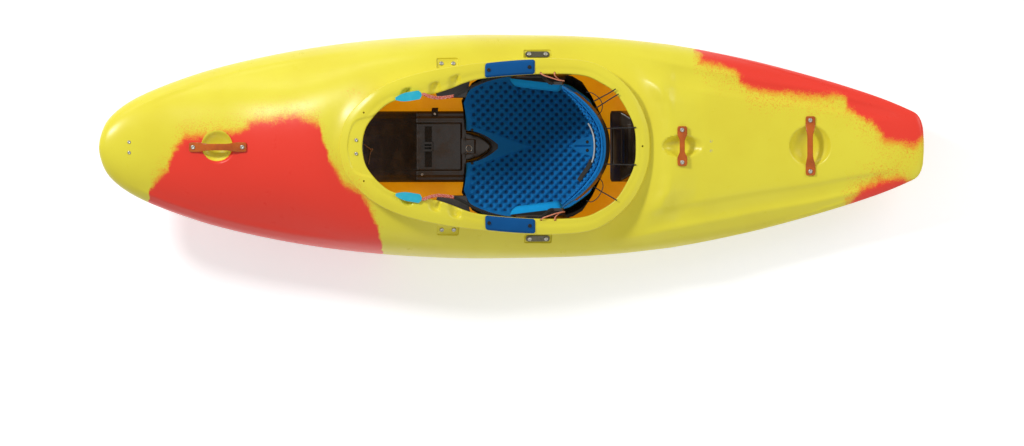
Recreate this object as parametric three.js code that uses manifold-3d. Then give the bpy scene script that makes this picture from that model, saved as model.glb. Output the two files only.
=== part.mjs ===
// A whitewater kayak: one moulded shell with an undercut keyhole coaming, and its outfitting.
// Millimetres; +X runs aft, +Y to starboard, +Z up; the origin is on the floor, mid length.
import * as THREE from 'three';
import { mergeVertices } from 'three/addons/utils/BufferGeometryUtils.js';
import Module from 'manifold-3d';

const wasm = await Module();
wasm.setup();

// Driving sizes of the boat
const length = 2600;
const beam = 706;
const height = 462;
const wall = 5;
const gap = 0.3;
const overrun = 60;
const weld = 1e-3;
// Deck beside the coaming at the widest place
const sideDeck = 76;

// Shell: forms that the station table doesn't hold
const tuckShare = 0.06;
const dropShare = 0.45;
const chineShare = 0.9;
const scoop = { depth: 15, alongShare: 0.235, reachShare: 0.075, turnShare: 0.58, turnReachShare: 0.22 };
const shellSteps = { rings: 46, deck: 8, side: 6 };
const cavitySteps = { rings: 26, deck: 6, side: 5, firstRow: 3, lastRow: 23 };

// Stations from bow to stern, as shares of length, half beam and height:
// along, half beam, keel, rail, deck, then how full the crown, the side and the flat floor are
const stationShares = [
  [0.0, 0.02, 0.825, 0.835, 0.849, 0.55, 0.55, 0.1],
  [0.0013, 0.09, 0.798, 0.818, 0.873, 0.56, 0.56, 0.12],
  [0.0055, 0.187, 0.767, 0.801, 0.89, 0.58, 0.56, 0.15],
  [0.0127, 0.272, 0.719, 0.777, 0.9, 0.6, 0.57, 0.18],
  [0.0273, 0.37, 0.644, 0.743, 0.901, 0.62, 0.58, 0.22],
  [0.0492, 0.467, 0.538, 0.695, 0.89, 0.63, 0.58, 0.26],
  [0.0831, 0.575, 0.412, 0.623, 0.869, 0.62, 0.56, 0.3],
  [0.1256, 0.683, 0.279, 0.555, 0.863, 0.6, 0.55, 0.34],
  [0.1742, 0.776, 0.18, 0.497, 0.862, 0.58, 0.56, 0.38],
  [0.2288, 0.858, 0.108, 0.446, 0.886, 0.58, 0.62, 0.42],
  [0.2834, 0.919, 0.06, 0.408, 0.907, 0.62, 0.72, 0.46],
  [0.338, 0.961, 0.033, 0.381, 0.897, 0.7, 0.82, 0.48],
  [0.3926, 0.988, 0.014, 0.347, 0.852, 0.76, 0.88, 0.5],
  [0.4472, 1.0, 0.0, 0.323, 0.763, 0.79, 0.9, 0.5],
  [0.5018, 0.997, 0.0, 0.309, 0.664, 0.8, 0.9, 0.5],
  [0.5661, 0.987, 0.0, 0.299, 0.579, 0.8, 0.88, 0.5],
  [0.6232, 0.96, 0.015, 0.292, 0.542, 0.8, 0.8, 0.5],
  [0.6778, 0.916, 0.051, 0.292, 0.568, 0.79, 0.66, 0.5],
  [0.698, 0.894, 0.068, 0.292, 0.582, 0.78, 0.6, 0.5],
  [0.7324, 0.849, 0.1, 0.292, 0.538, 0.78, 0.5, 0.5],
  [0.787, 0.764, 0.142, 0.296, 0.49, 0.76, 0.42, 0.5],
  [0.8416, 0.661, 0.2, 0.306, 0.452, 0.75, 0.38, 0.48],
  [0.8962, 0.547, 0.27, 0.333, 0.443, 0.75, 0.38, 0.46],
  [0.9448, 0.431, 0.333, 0.367, 0.443, 0.75, 0.4, 0.44],
  [0.9788, 0.331, 0.377, 0.398, 0.451, 0.74, 0.42, 0.42],
  [0.9921, 0.277, 0.396, 0.411, 0.449, 0.72, 0.45, 0.42],
  [0.9982, 0.185, 0.404, 0.416, 0.441, 0.7, 0.5, 0.42],
  [1.0, 0.06, 0.411, 0.419, 0.432, 0.68, 0.5, 0.42],
];

// Coaming: outer edge and inner edge from front to rear, as shares of its length and half width
const rim = {
  frontShare: -0.2023, length: 965, halfWidth: beam / 2 - sideDeck, lip: 16, edge: 4, skin: 10,
  neckInset: 24, neckSkin: 7, neckDrop: 110, steps: 60, mouthFloorShare: 0.4,
};
const rimShares = [
  [0.0, 0.0, 0.076, 0.0],
  [0.008, 0.182, 0.083, 0.165],
  [0.027, 0.341, 0.099, 0.278],
  [0.069, 0.506, 0.132, 0.409],
  [0.128, 0.66, 0.174, 0.512],
  [0.205, 0.783, 0.244, 0.564],
  [0.311, 0.878, 0.327, 0.621],
  [0.437, 0.946, 0.437, 0.758],
  [0.578, 0.995, 0.578, 0.812],
  [0.706, 1.0, 0.7, 0.824],
  [0.804, 0.961, 0.785, 0.801],
  [0.875, 0.841, 0.837, 0.727],
  [0.938, 0.636, 0.889, 0.602],
  [0.976, 0.409, 0.931, 0.375],
  [0.995, 0.203, 0.951, 0.194],
  [1.0, 0.0, 0.955, 0.0],
];
// Height of the coaming's top along its length, as shares of the height
const rimTopShares = [
  [0.0, 1.0], [0.11, 0.997], [0.172, 0.975], [0.237, 0.948], [0.303, 0.913], [0.369, 0.866],
  [0.496, 0.771], [0.561, 0.7225], [0.626, 0.682], [0.692, 0.654], [0.763, 0.643],
  [0.884, 0.636], [0.955, 0.633], [1.0, 0.62],
];
// Finger grips in the coaming's wide front sides, as shares of its length and half width
const gripShares = [[0.221, 0.653], [0.31, 0.733], [0.3735, 0.775]];
const grip = { along: 15, across: 24, deep: 8 };

// Shallow panel across the front of the coaming, and its two bolts
const rimPanel = { frontShare: 0.0324, rearShare: 0.0764, halfShare: 0.267, deep: 3 };
const rimBolts = { alongShare: 0.0566, spread: 43 };

// Round dishes in the deck under the hand holds: places and sizes; the bar's lies aft of the coaming
const bowDish = { alongShare: 0.1462, radiusX: 50, radiusY: 50, deep: 26 };
const barDish = { aft: 102.6, radiusX: 66, radiusY: 33, deep: 24 };
const sternDish = { alongShare: 0.862, radiusX: 63, radiusY: 63, deep: 26 };
const dishSteps = 18;
const dishFullShare = 1.6;

// Hand holds: flat bars with two feet, arched over their dishes
const bowHandle = { span: 183, foot: 26, end: 31, waist: 21, thick: 6, rise: 10 };
const sternHandle = { span: 187, foot: 26, end: 31, waist: 18, thick: 6, rise: 10 };
const securityBar = { span: 126, foot: 24, end: 31, waist: 16, thick: 7, rise: 3 };
const barWaistShare = 0.6;
const barArchShare = 1.6;
const barSteps = 14;
const footSteps = 2;

// Fasteners
const boltShoulderShare = 0.4;
const bolt = { head: 7, crown: 3.5, shank: 3, sides: 8 };
const smallBolt = { head: 5.5, crown: 2.5, shank: 2.5, sides: 8 };
const bowBolts = { alongShare: 0.0382, spread: 33 };
const rearBolts = { aft: 190.7, spread: 31 };

// Pockets in the deck beside the coaming, in from the widest beam, with a thick flat boss under each
const boss = 10;
const thighPocket = { rimShare: 0.342, inset: 89.7, long: 66, wide: 34, deep: 4, pitch: 38 };
const hangerPocket = { rimShare: 0.627, inset: 61.6, long: 84, wide: 28, deep: 4, pitch: 52 };
const hangerPlate = { long: 76, wide: 21, thick: 3 };

// Blue pads on the coaming beside the hips
const rimPad = { frontShare: 0.469, rearShare: 0.6264, thick: 8, clear: 1.4 };
const rimPadSteps = { along: 8, across: 4 };

// Seat: pan on two floor runners, foam pad on the pan; it fits within the coaming with room all round
const seat = {
  legRoom: 354.9, backRoom: 184.1, sideRoom: 56, padThick: 20, padRim: 9, padEdgeShare: 6,
  panSkin: 5, panLip: 8, clear: 24, frontRise: 46, sideRise: 62, sideCurlShare: 4,
  notchLong: 98, notchHalf: 51, notchTipShare: 1 / 8,
};
const seatLong = rim.length - seat.legRoom - seat.backRoom;
const seatHalf = rim.halfWidth - seat.sideRoom;
const seatSteps = { along: 14, across: 14 };
const seatOutlineShares = [
  [0, 0.62], [0.04, 0.8], [0.12, 0.94], [0.25, 1], [0.6, 1], [0.78, 0.97], [0.87, 0.86],
  [0.94, 0.64], [1, 0.4],
];
const seatBaseShares = [[0, 1], [0.15, 0.5], [0.35, 0.06], [0.5, 0], [0.75, 0.05], [1, 0.5]];
const runner = { long: 190, wide: 26, offset: 70, seatShare: 0.4138 };

// Hips: wings of the pan, foam pads on them, and the brackets that hang from the deck beside them
const hip = {
  wingTop: 245, wingFoot: 92, lean: 10, frontShare: 0.42, rearShare: 0.8, topRearShare: 0.7,
  padThick: 50, padFrontShare: 0.373, padRearShare: 0.76, padTop: 236, padFoot: 140,
  padTaperShare: 4, padEndShare: 1 / 4,
};
const bracket = { skin: 5, web: 90, shoulder: 14, foot: 150 };

// Backband: foam on a bent plastic shell, hung by cords; it slides forward when the tabs are pulled
const band = {
  rearRoom: 138, sideRoom: 82.5, reach: 143, bendShare: 2.3, foot: 214, footRise: 32, thick: 30, edge: 8,
  endRoundShare: 8, browShare: 0.06, shellSkin: 4, shellShare: 0.86, shellMiddle: 272, shellPinchShare: 1 / 4,
};
const bandHalf = rim.halfWidth - band.sideRoom;
// Height of the band's top from its middle to its ends, as shares of the height
const bandTopShares = [
  [0, 0.717], [0.35, 0.72], [0.57, 0.733], [0.81, 0.738], [0.9, 0.723], [0.963, 0.692], [1, 0.6545],
];
const bandEnd = { long: 26, wide: 9, tall: 22, ahead: 10 };
const bandSteps = { round: 20, up: 6 };

// Thigh grips under the coaming, slotted on two bolts a side
const thigh = {
  skin: 7, long: 120, aft: 14, outer: 15, inner: 96, droop: 34, travel: 15, flatShare: 0.3,
  taperShare: 1 / 4, droopCurlShare: 1.4,
};
const thighSteps = { along: 6, across: 8 };

// Centre pillar with its tray between the legs, and the rear pillar behind the seat
// Their places along the boat are measured from the coaming's front and rear ends
const frontPillar = {
  front: 6, rampTop: 68.4, rampFoot: 193.2, panelRear: 336.2, noseReach: 70.2, halfWidth: 112, skin: 6,
  trayTop: 66, step: 7, panelHalf: 78, noseLong: 76, noseHalf: 40, noseTip: 12,
};
const rearPillar = {
  foot: -138.7, front: -143.9, waist: -103.6, deck: -23, rear: 211, frontHalf: 112, waistHalf: 94,
  skin: 6, frontTop: 160, backTop: 205, trough: 14, troughHalf: 60, footClear: 0.6,
};
const pillarClear = 2;

// Footrest: a plate with a foam pad, on two side tracks
const footrest = {
  alongShare: 0.256, halfWidth: 190, foot: 92, top: 330, skin: 8, padThick: 22, corner: 50,
  ear: 24, travelFore: 60, travelAft: 50, padInset: 14,
};
const track = { frontShare: 0.222, rearShare: 0.335, tall: 26, thick: 12, centreShare: 0.327, inboard: 22 };
const trackBoltShares = [0.272, 0.303];

// Pull tabs and their chained cords
const tab = {
  long: 84, wide: 28, thick: 5, tip: 8, rimShare: 0.2269, acrossShare: 0.5704, tilt: 0.17, lift: 1.2,
};
const chain = { diameter: 11, sides: 8, steps: 20 };
const line = { diameter: 4, sides: 8, hole: 3.2 };

// Strap across the tray, with its ladder buckle
const strap = { aft: 230.1, wide: 22, thick: 2.5, end: 14 };
const buckle = { long: 30, wide: 30, thick: 5, window: 6, bridge: 4 };

const yellow = { color: 0xe8dc46, roughness: 0.38, metalness: 0 };
const blackPlastic = { color: 0x2a2622, roughness: 0.55, metalness: 0 };
const blueFoam = { color: 0x0a78c8, roughness: 0.85, metalness: 0 };
const blueRubber = { color: 0x0b5ea8, roughness: 0.6, metalness: 0 };
const orangeMetal = { color: 0xb84a10, roughness: 0.3, metalness: 0.8 };
const steel = { color: 0xc8c8c4, roughness: 0.28, metalness: 0.9 };
const greyMetal = { color: 0x8a8678, roughness: 0.4, metalness: 0.8 };
const turquoise = { color: 0x1fb5d0, roughness: 0.45, metalness: 0 };
const redCord = { color: 0xd8452a, roughness: 0.8, metalness: 0 };
const peachCord = { color: 0xe98a64, roughness: 0.8, metalness: 0 };
const blackCord = { color: 0x1c1a18, roughness: 0.8, metalness: 0 };
const webbing = { color: 0x24211e, roughness: 0.9, metalness: 0 };

const kayak = new THREE.Group();
kayak.name = 'whitewater_kayak';
const sides = [['left', -1], ['right', 1]];
const vec = (x, y, z) => new THREE.Vector3(x, y, z);
const alongAt = (share) => (share - 1 / 2) * length;
const rimAt = (share) => rim.frontShare * length + share * rim.length;
const rimFront = rimAt(0);
const rimRear = rimAt(1);

// A smooth function through rows of [place, value]
function curveThrough(rows) {
  const slopes = rows.map((row, i) => {
    const before = rows[Math.max(i - 1, 0)];
    const after = rows[Math.min(i + 1, rows.length - 1)];
    return (after[1] - before[1]) / (after[0] - before[0]);
  });
  return (place) => {
    let i = 0;
    while (i < rows.length - 2 && place > rows[i + 1][0]) i += 1;
    const span = rows[i + 1][0] - rows[i][0];
    const t = THREE.MathUtils.clamp((place - rows[i][0]) / span, 0, 1);
    const rise = rows[i + 1][1] - rows[i][1];
    const curl = t * (1 - t) * ((1 - t) * (slopes[i] * span - rise) - t * (slopes[i + 1] * span - rise));
    return rows[i][1] + rise * t + curl;
  };
}

// A solid with other solids taken out of it
const without = (form, tools) => tools.reduce((rest, tool) => rest.subtract(tool), form);

// Merges shared corners, drops empty triangles and turns the faces outward
function closed(geometry) {
  const bare = geometry.clone();
  bare.deleteAttribute('normal');
  bare.deleteAttribute('uv');
  const merged = mergeVertices(bare, weld);
  const corner = merged.attributes.position;
  const faces = [];
  let volume = 0;
  for (let i = 0; i < merged.index.count; i += 3) {
    const ids = [0, 1, 2].map((k) => merged.index.getX(i + k));
    if (new Set(ids).size < 3) continue;
    const [a, b, c] = ids.map((id) => new THREE.Vector3().fromBufferAttribute(corner, id));
    volume += a.dot(b.cross(c));
    faces.push(ids);
  }
  merged.setIndex(faces.flatMap(([a, b, c]) => (volume > 0 ? [a, b, c] : [a, c, b])));
  return merged;
}

function solid(geometry, matrix) {
  const shape = closed(matrix ? geometry.clone().applyMatrix4(matrix) : geometry);
  const vertProperties = new Float32Array(shape.attributes.position.array);
  const triVerts = new Uint32Array(shape.index.array);
  return new wasm.Manifold(new wasm.Mesh({ numProp: 3, vertProperties, triVerts }));
}

function geometryOf(form) {
  const { vertProperties, triVerts } = form.getMesh();
  const geometry = new THREE.BufferGeometry();
  geometry.setAttribute('position', new THREE.BufferAttribute(vertProperties, 3));
  geometry.setIndex(new THREE.BufferAttribute(triVerts, 1));
  return geometry;
}

// Adds a named piece; a form is either a geometry or a joined and cut solid
function add(name, form, finish, parent = kayak) {
  const geometry = form.isBufferGeometry ? closed(form) : geometryOf(form);
  geometry.computeVertexNormals();
  const mesh = new THREE.Mesh(geometry, new THREE.MeshStandardMaterial(finish));
  mesh.name = name;
  parent.add(mesh);
  return mesh;
}

// Skins rings of points into a closed body with flat ends
function loft(rings) {
  const count = rings[0].length;
  const points = rings.flat();
  const index = [];
  for (let i = 0; i < rings.length - 1; i += 1) {
    for (let k = 0; k < count; k += 1) {
      const a = i * count + k;
      const b = i * count + ((k + 1) % count);
      index.push(a, b, b + count, a, b + count, a + count);
    }
  }
  [[0, 0], [rings.length - 1, 1]].forEach(([end, last]) => {
    const centre = rings[end].reduce((sum, p) => sum.add(p), vec(0, 0, 0)).divideScalar(count);
    const hub = points.push(centre) - 1;
    for (let k = 0; k < count; k += 1) {
      const a = end * count + k;
      const b = end * count + ((k + 1) % count);
      index.push(...(last ? [a, b, hub] : [b, a, hub]));
    }
  });
  const geometry = new THREE.BufferGeometry().setFromPoints(points);
  geometry.setIndex(index);
  return geometry;
}

// A closed body between two sheets of points over the unit square, such as a pad or a tray
function between(lower, upper, along, across) {
  const points = [];
  const index = [];
  const row = across + 1;
  const sheet = (along + 1) * row;
  [lower, upper].forEach((at) => {
    for (let i = 0; i <= along; i += 1) {
      for (let k = 0; k <= across; k += 1) points.push(at(i / along, k / across));
    }
  });
  const quad = (a, b, c, d) => index.push(a, b, c, a, c, d);
  for (let i = 0; i < along; i += 1) {
    for (let k = 0; k < across; k += 1) {
      const a = i * row + k;
      quad(a, a + row, a + row + 1, a + 1);
      quad(a + sheet, a + 1 + sheet, a + row + 1 + sheet, a + row + sheet);
    }
    const low = i * row;
    const high = low + across;
    quad(low, low + sheet, low + row + sheet, low + row);
    quad(high, high + row, high + row + sheet, high + sheet);
  }
  for (let k = 0; k < across; k += 1) {
    const last = along * row + k;
    quad(k, k + 1, k + 1 + sheet, k + sheet);
    quad(last, last + sheet, last + 1 + sheet, last + 1);
  }
  return new THREE.BufferGeometry().setFromPoints(points).setIndex(index);
}

function tube(points, diameter, sidesCount, steps) {
  const path = new THREE.CatmullRomCurve3(points);
  const shape = new THREE.Shape();
  for (let k = 0; k < sidesCount; k += 1) {
    const turn = (2 * Math.PI * k) / sidesCount;
    const x = (Math.cos(turn) * diameter) / 2;
    const y = (Math.sin(turn) * diameter) / 2;
    if (k) shape.lineTo(x, y);
    else shape.moveTo(x, y);
  }
  return new THREE.ExtrudeGeometry(shape, { steps, bevelEnabled: false, extrudePath: path });
}

const box = (x, y, z) => new THREE.BoxGeometry(x, y, z);
const shifted = (geometry, x, y, z) => geometry.clone().translate(x, y, z);

// Shell sections
const columns = stationShares[0].map((_, c) => curveThrough(stationShares.map((row, i) => [i, row[c]])));
const bell = (offset, reach) => Math.exp(-((offset / reach) ** 2));

function station(row, inset) {
  const [along, half, keel, rail, deck, crown, side, floor] = columns.map((column) => column(row));
  return {
    along, crown, side, floor, x: alongAt(along), half: (half * beam) / 2 - inset,
    keel: Math.max(keel, 0) * height + inset, rail: rail * height, deck: deck * height - inset,
  };
}

function deckPoint(at, turn) {
  const low = at.rail + at.side * (at.deck - at.rail);
  const y = new THREE.CubicBezierCurve(
    new THREE.Vector2(0, at.deck),
    new THREE.Vector2(at.crown * at.half, at.deck),
    new THREE.Vector2(at.half, low),
    new THREE.Vector2(at.half, at.rail),
  ).getPoint(turn);
  const hollow = bell(at.along - scoop.alongShare, scoop.reachShare);
  const dip = scoop.depth * hollow * bell(turn - scoop.turnShare, scoop.turnReachShare);
  return [y.x, y.y - dip];
}

function sidePoint(at, turn) {
  const point = new THREE.CubicBezierCurve(
    new THREE.Vector2(at.half, at.rail),
    new THREE.Vector2(at.half * (1 - tuckShare), THREE.MathUtils.lerp(at.rail, at.keel, dropShare)),
    new THREE.Vector2(at.half * chineShare, at.keel),
    new THREE.Vector2(at.half * at.floor, at.keel),
  ).getPoint(turn);
  return [point.x, point.y];
}

function shellRing(row, inset, deckSteps, sideSteps) {
  const at = station(row, inset);
  const flank = [];
  for (let k = 1; k <= deckSteps; k += 1) flank.push(deckPoint(at, k / deckSteps));
  for (let k = 1; k <= sideSteps; k += 1) flank.push(sidePoint(at, k / sideSteps));
  const starboard = flank.map(([y, z]) => vec(at.x, y, z));
  const port = flank.map(([y, z]) => vec(at.x, -y, z)).reverse();
  return [vec(at.x, 0, deckPoint(at, 0)[1]), ...starboard, vec(at.x, 0, at.keel), ...port];
}

function shellLoft(first, last, inset, steps) {
  const rings = [];
  for (let i = 0; i <= steps.rings; i += 1) {
    const row = THREE.MathUtils.lerp(first, last, i / steps.rings);
    rings.push(shellRing(row, inset, steps.deck, steps.side));
  }
  return loft(rings);
}

const outerForm = closed(shellLoft(0, stationShares.length - 1, 0, shellSteps));
const cavityForm = closed(shellLoft(cavitySteps.firstRow, cavitySteps.lastRow, wall, cavitySteps));
const outerSkin = new THREE.Mesh(outerForm, new THREE.MeshBasicMaterial({ side: THREE.DoubleSide }));
const innerSkin = new THREE.Mesh(cavityForm, new THREE.MeshBasicMaterial({ side: THREE.DoubleSide }));

// First and last point of a skin on a straight line through the boat
function hits(skin, from, direction) {
  return new THREE.Raycaster(from, direction).intersectObject(skin).map((hit) => hit.point);
}
const down = vec(0, 0, -1);
const topOf = (skin, x, y) => hits(skin, vec(x, y, 2 * height), down)[0].z;
const floorOf = (skin, x, y) => hits(skin, vec(x, y, 2 * height), down).at(-1).z;

// A frame on the deck: Z out of the surface, X along the boat; both sides mirror each other
function deckFrame(x, y) {
  const at = (dx, dy) => vec(x + dx, Math.abs(y) + dy, topOf(outerSkin, x + dx, Math.abs(y) + dy));
  const alongLine = at(wall, 0).sub(at(-wall, 0)).normalize();
  const acrossLine = at(0, wall).sub(at(0, -wall));
  const out = alongLine.clone().cross(acrossLine).normalize();
  const spot = at(0, 0);
  [out, spot].forEach((v) => v.setY(v.y * Math.sign(y)));
  return new THREE.Matrix4().makeBasis(alongLine, out.clone().cross(alongLine), out).setPosition(spot);
}

// Coaming
const rimTopCurve = curveThrough(rimTopShares);
const rimTop = (x) => rimTopCurve((x - rimAt(0)) / rim.length) * height;

function rimLine(alongColumn, acrossColumn) {
  const point = (row, side) => vec(rimAt(row[alongColumn]), side * row[acrossColumn] * rim.halfWidth, 0);
  const inside = rimShares.slice(1, -1);
  const line = [
    point(rimShares[0], 1), ...inside.map((row) => point(row, 1)),
    point(rimShares.at(-1), 1), ...inside.reverse().map((row) => point(row, -1)),
  ];
  return new THREE.CatmullRomCurve3(line, true, 'catmullrom');
}
const outerEdge = rimLine(0, 1);
const innerEdge = rimLine(2, 3);

function rimStation(share) {
  const outer = outerEdge.getPoint(share);
  const inner = innerEdge.getPoint(share);
  const inward = inner.clone().sub(outer).normalize();
  const at = (reach) => outer.clone().addScaledVector(inward, reach);
  return { outer, inner, at };
}

function rimProfile(share) {
  const { outer, inner, at } = rimStation(share);
  const put = (point, fall) => vec(point.x, point.y, rimTop(point.x) - fall);
  const neck = at(rim.neckInset);
  const skirt = at(rim.neckInset + rim.neckSkin);
  return [
    put(inner, 0), put(at(rim.edge), 0), put(outer, rim.edge), put(outer, rim.lip - rim.edge),
    put(at(rim.edge), rim.lip), put(neck, rim.lip), put(neck, rim.neckDrop),
    put(skirt, rim.neckDrop), put(skirt, rim.skin), put(inner, rim.skin),
  ];
}

// Sweeps the coaming's section round its keyhole outline
function coamingForm() {
  const points = [];
  const index = [];
  for (let i = 0; i < rim.steps; i += 1) points.push(...rimProfile(i / rim.steps));
  const count = points.length / rim.steps;
  for (let i = 0; i < rim.steps; i += 1) {
    const here = i * count;
    const next = ((i + 1) % rim.steps) * count;
    for (let k = 0; k < count; k += 1) {
      const l = (k + 1) % count;
      index.push(here + k, here + l, next + l, here + k, next + l, next + k);
    }
  }
  return new THREE.BufferGeometry().setFromPoints(points).setIndex(index);
}

// The cockpit's mouth, cut through the deck within the thickness of the neck
function mouthForm() {
  const floor = rim.mouthFloorShare * height;
  const ring = (z) => {
    const line = [];
    for (let i = 0; i < rim.steps; i += 1) {
      line.push(rimStation(i / rim.steps).at(rim.neckInset + rim.neckSkin / 2).setZ(z));
    }
    return line;
  };
  return loft([ring(floor), ring(height + overrun)]);
}

function fingerGrips() {
  return gripShares.flatMap(([along, across]) => sides.map(([, side]) => {
    const x = rimAt(along);
    const scallop = new THREE.SphereGeometry(1, 10, 6).scale(grip.along, grip.across, grip.deep);
    return solid(shifted(scallop, x, side * across * rim.halfWidth, rimTop(x)));
  }));
}

function rimPanelForm() {
  const [front, rear] = [rimPanel.frontShare, rimPanel.rearShare].map(rimAt);
  const cut = box(rear - front + overrun, 2 * rimPanel.halfShare * rim.halfWidth, overrun);
  const floor = rimTop(rear) - rimPanel.deep;
  return solid(shifted(cut, (front + rear + overrun) / 2, 0, floor + overrun / 2));
}

const dishX = (dish) => (dish === barDish ? rimRear + dish.aft : alongAt(dish.alongShare));

// An ellipsoid whose lowest point lies a dish's depth under the deck, grown by a margin
function dishForm(dish, margin) {
  const x = dishX(dish);
  const ball = new THREE.SphereGeometry(1, dishSteps, dishSteps / 2).rotateX(Math.PI / 2);
  const tall = dish.deep * dishFullShare;
  const stretch = 1 / Math.sqrt(1 - ((dishFullShare - 1) / dishFullShare) ** 2);
  ball.scale(dish.radiusX * stretch + margin, dish.radiusY * stretch + margin, tall + margin);
  return solid(shifted(ball, x, 0, topOf(outerSkin, x, 0) - dish.deep + tall));
}

function pocketFrame(pocket, side) {
  return deckFrame(rimAt(pocket.rimShare), side * (beam / 2 - pocket.inset));
}

function pocketForm(pocket, side, margin) {
  const tall = overrun + pocket.deep + margin;
  const cut = box(pocket.long + 2 * margin, pocket.wide + 2 * margin, tall);
  return solid(shifted(cut, 0, 0, overrun - tall / 2), pocketFrame(pocket, side));
}

// Bolts stand on their local Z = 0; every bore that they need is kept for the pieces they cross
const bores = [];
function boltForm(kind, reach) {
  const profile = [
    [0, kind.crown], [kind.head, kind.crown * boltShoulderShare], [kind.head, 0],
    [kind.shank, 0], [kind.shank, -reach], [0, -reach],
  ].map(([r, z]) => new THREE.Vector2(r, z));
  return new THREE.LatheGeometry(profile, kind.sides).rotateX(Math.PI / 2);
}
function placeBolt(name, kind, frame, reach, finish = steel) {
  const bore = new THREE.CylinderGeometry(kind.shank + gap, kind.shank + gap, 2 * reach, kind.sides);
  bores.push(solid(bore.rotateX(Math.PI / 2), frame));
  const mesh = add(name, boltForm(kind, reach), finish);
  mesh.applyMatrix4(frame);
}
const inFrame = (frame, x, y, z) => frame.clone().multiply(new THREE.Matrix4().makeTranslation(x, y, z));

// Hand holds
function barForm(bar) {
  const sheet = (lift) => (u, v) => {
    const near = Math.min(u, 1 - u) * barSteps;
    const inner = Math.max(near - footSteps, 0) / (barSteps / 2 - footSteps);
    const fromEnd = near < footSteps ? (near / footSteps) * bar.foot
      : THREE.MathUtils.lerp(bar.foot, bar.span / 2, inner);
    const x = (u < 1 / 2 ? -1 : 1) * (bar.span / 2 - fromEnd);
    const slim = THREE.MathUtils.smoothstep(inner, 0, barWaistShare);
    const wide = THREE.MathUtils.lerp(bar.end, bar.waist, slim);
    const arch = bar.rise * Math.sin((Math.PI / 2) * Math.min(inner * barArchShare, 1));
    return vec(x, (v - 1 / 2) * wide, arch + lift);
  };
  return between(sheet(0), sheet(bar.thick), barSteps, 2);
}

// Stands a bar on the deck with both feet down, and gives its frame
function barFrame(bar, x, athwart) {
  const step = (bar.span - bar.foot) / 2;
  const feet = [-1, 1].map((end) => (athwart ? [x, end * step] : [x + end * step, 0]));
  const [a, b] = feet.map(([fx, fy]) => vec(fx, fy, topOf(outerSkin, fx, fy)));
  const line = b.clone().sub(a).normalize();
  const up = athwart ? vec(0, 0, 1) : line.clone().cross(vec(0, 1, 0));
  const frame = new THREE.Matrix4().makeBasis(line, up.clone().normalize().cross(line), up.normalize());
  frame.setPosition(a.clone().add(b).divideScalar(2));
  const sink = [-1, 1].flatMap((end) => [-1, 0, 1].flatMap((edge) => [-1, 0, 1].map((flank) => {
    const local = vec(end * (step + (edge * bar.foot) / 2), (flank * bar.end) / 2, 0);
    const spot = local.applyMatrix4(frame);
    return topOf(outerSkin, spot.x, spot.y) - spot.z;
  })));
  return inFrame(frame, 0, 0, Math.max(...sink) + gap);
}

function addBar(name, bar, x, athwart, ends) {
  const frame = barFrame(bar, x, athwart);
  const step = (bar.span - bar.foot) / 2;
  const shape = solid(barForm(bar));
  const bore = new THREE.CylinderGeometry(bolt.shank + gap, bolt.shank + gap, overrun, bolt.sides);
  const holes = [-1, 1].map((end) => solid(shifted(bore.clone().rotateX(Math.PI / 2), end * step, 0, 0)));
  add(name, shape.subtract(holes[0]).subtract(holes[1]), orangeMetal).applyMatrix4(frame);
  ends.forEach((end, i) => {
    const foot = inFrame(frame, (i ? 1 : -1) * step, 0, bar.thick + gap);
    placeBolt(`${name}_bolt_${end}`, bolt, foot, bar.thick + 2 * wall);
  });
}

function addHandHolds() {
  addBar('bow_handle', bowHandle, dishX(bowDish), false, ['front', 'rear']);
  addBar('stern_handle', sternHandle, dishX(sternDish), true, ['left', 'right']);
  addBar('security_bar', securityBar, dishX(barDish), true, ['left', 'right']);
}

// Two bolts in the shallow panel at the coaming's front
function addRimBolts() {
  sides.forEach(([word, side]) => {
    const x = rimAt(rimBolts.alongShare);
    const lift = rimTop(x) - rimPanel.deep + gap;
    const frame = new THREE.Matrix4().makeTranslation(x, (side * rimBolts.spread) / 2, lift);
    placeBolt(`rim_bolt_${word}`, smallBolt, frame, rim.skin + wall);
  });
}

function addDeckBolts() {
  const pairs = [
    ['bow_deck_bolt', bowBolts, alongAt(bowBolts.alongShare)],
    ['rear_deck_bolt', rearBolts, rimRear + rearBolts.aft],
  ];
  pairs.forEach(([name, pair, x]) => {
    sides.forEach(([word, side]) => {
      const frame = deckFrame(x, (side * pair.spread) / 2);
      placeBolt(`${name}_${word}`, smallBolt, inFrame(frame, 0, 0, gap), 2 * wall);
    });
  });
}

// Thigh grips: slotted flange under the pocket's boss, drooping inward over the thigh
const thighTop = -(thighPocket.deep + boss + gap);
function thighForm(side) {
  const sheet = (lift) => (u, v) => {
    const across = THREE.MathUtils.lerp(thigh.outer, -thigh.inner, v) * side;
    const bend = THREE.MathUtils.clamp((v - thigh.flatShare) / (1 - thigh.flatShare), 0, 1);
    const taper = 1 - thigh.taperShare * bend * bend;
    const x = thigh.aft + (u - 1 / 2) * thigh.long * taper;
    return vec(x, across, thighTop - thigh.droop * bend ** thigh.droopCurlShare + lift);
  };
  let form = solid(between(sheet(-thigh.skin), sheet(0), thighSteps.along, thighSteps.across));
  [-1, 1].forEach((end) => {
    const slot = new THREE.Shape();
    const radius = bolt.shank + gap;
    slot.absarc(thigh.travel, 0, radius, -Math.PI / 2, Math.PI / 2);
    slot.absarc(-thigh.travel, 0, radius, Math.PI / 2, (3 * Math.PI) / 2);
    const options = { depth: overrun, bevelEnabled: false, curveSegments: 4 };
    const cut = new THREE.ExtrudeGeometry(slot, options);
    form = form.subtract(solid(shifted(cut, (end * thighPocket.pitch) / 2, 0, -overrun)));
  });
  return form;
}

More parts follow.
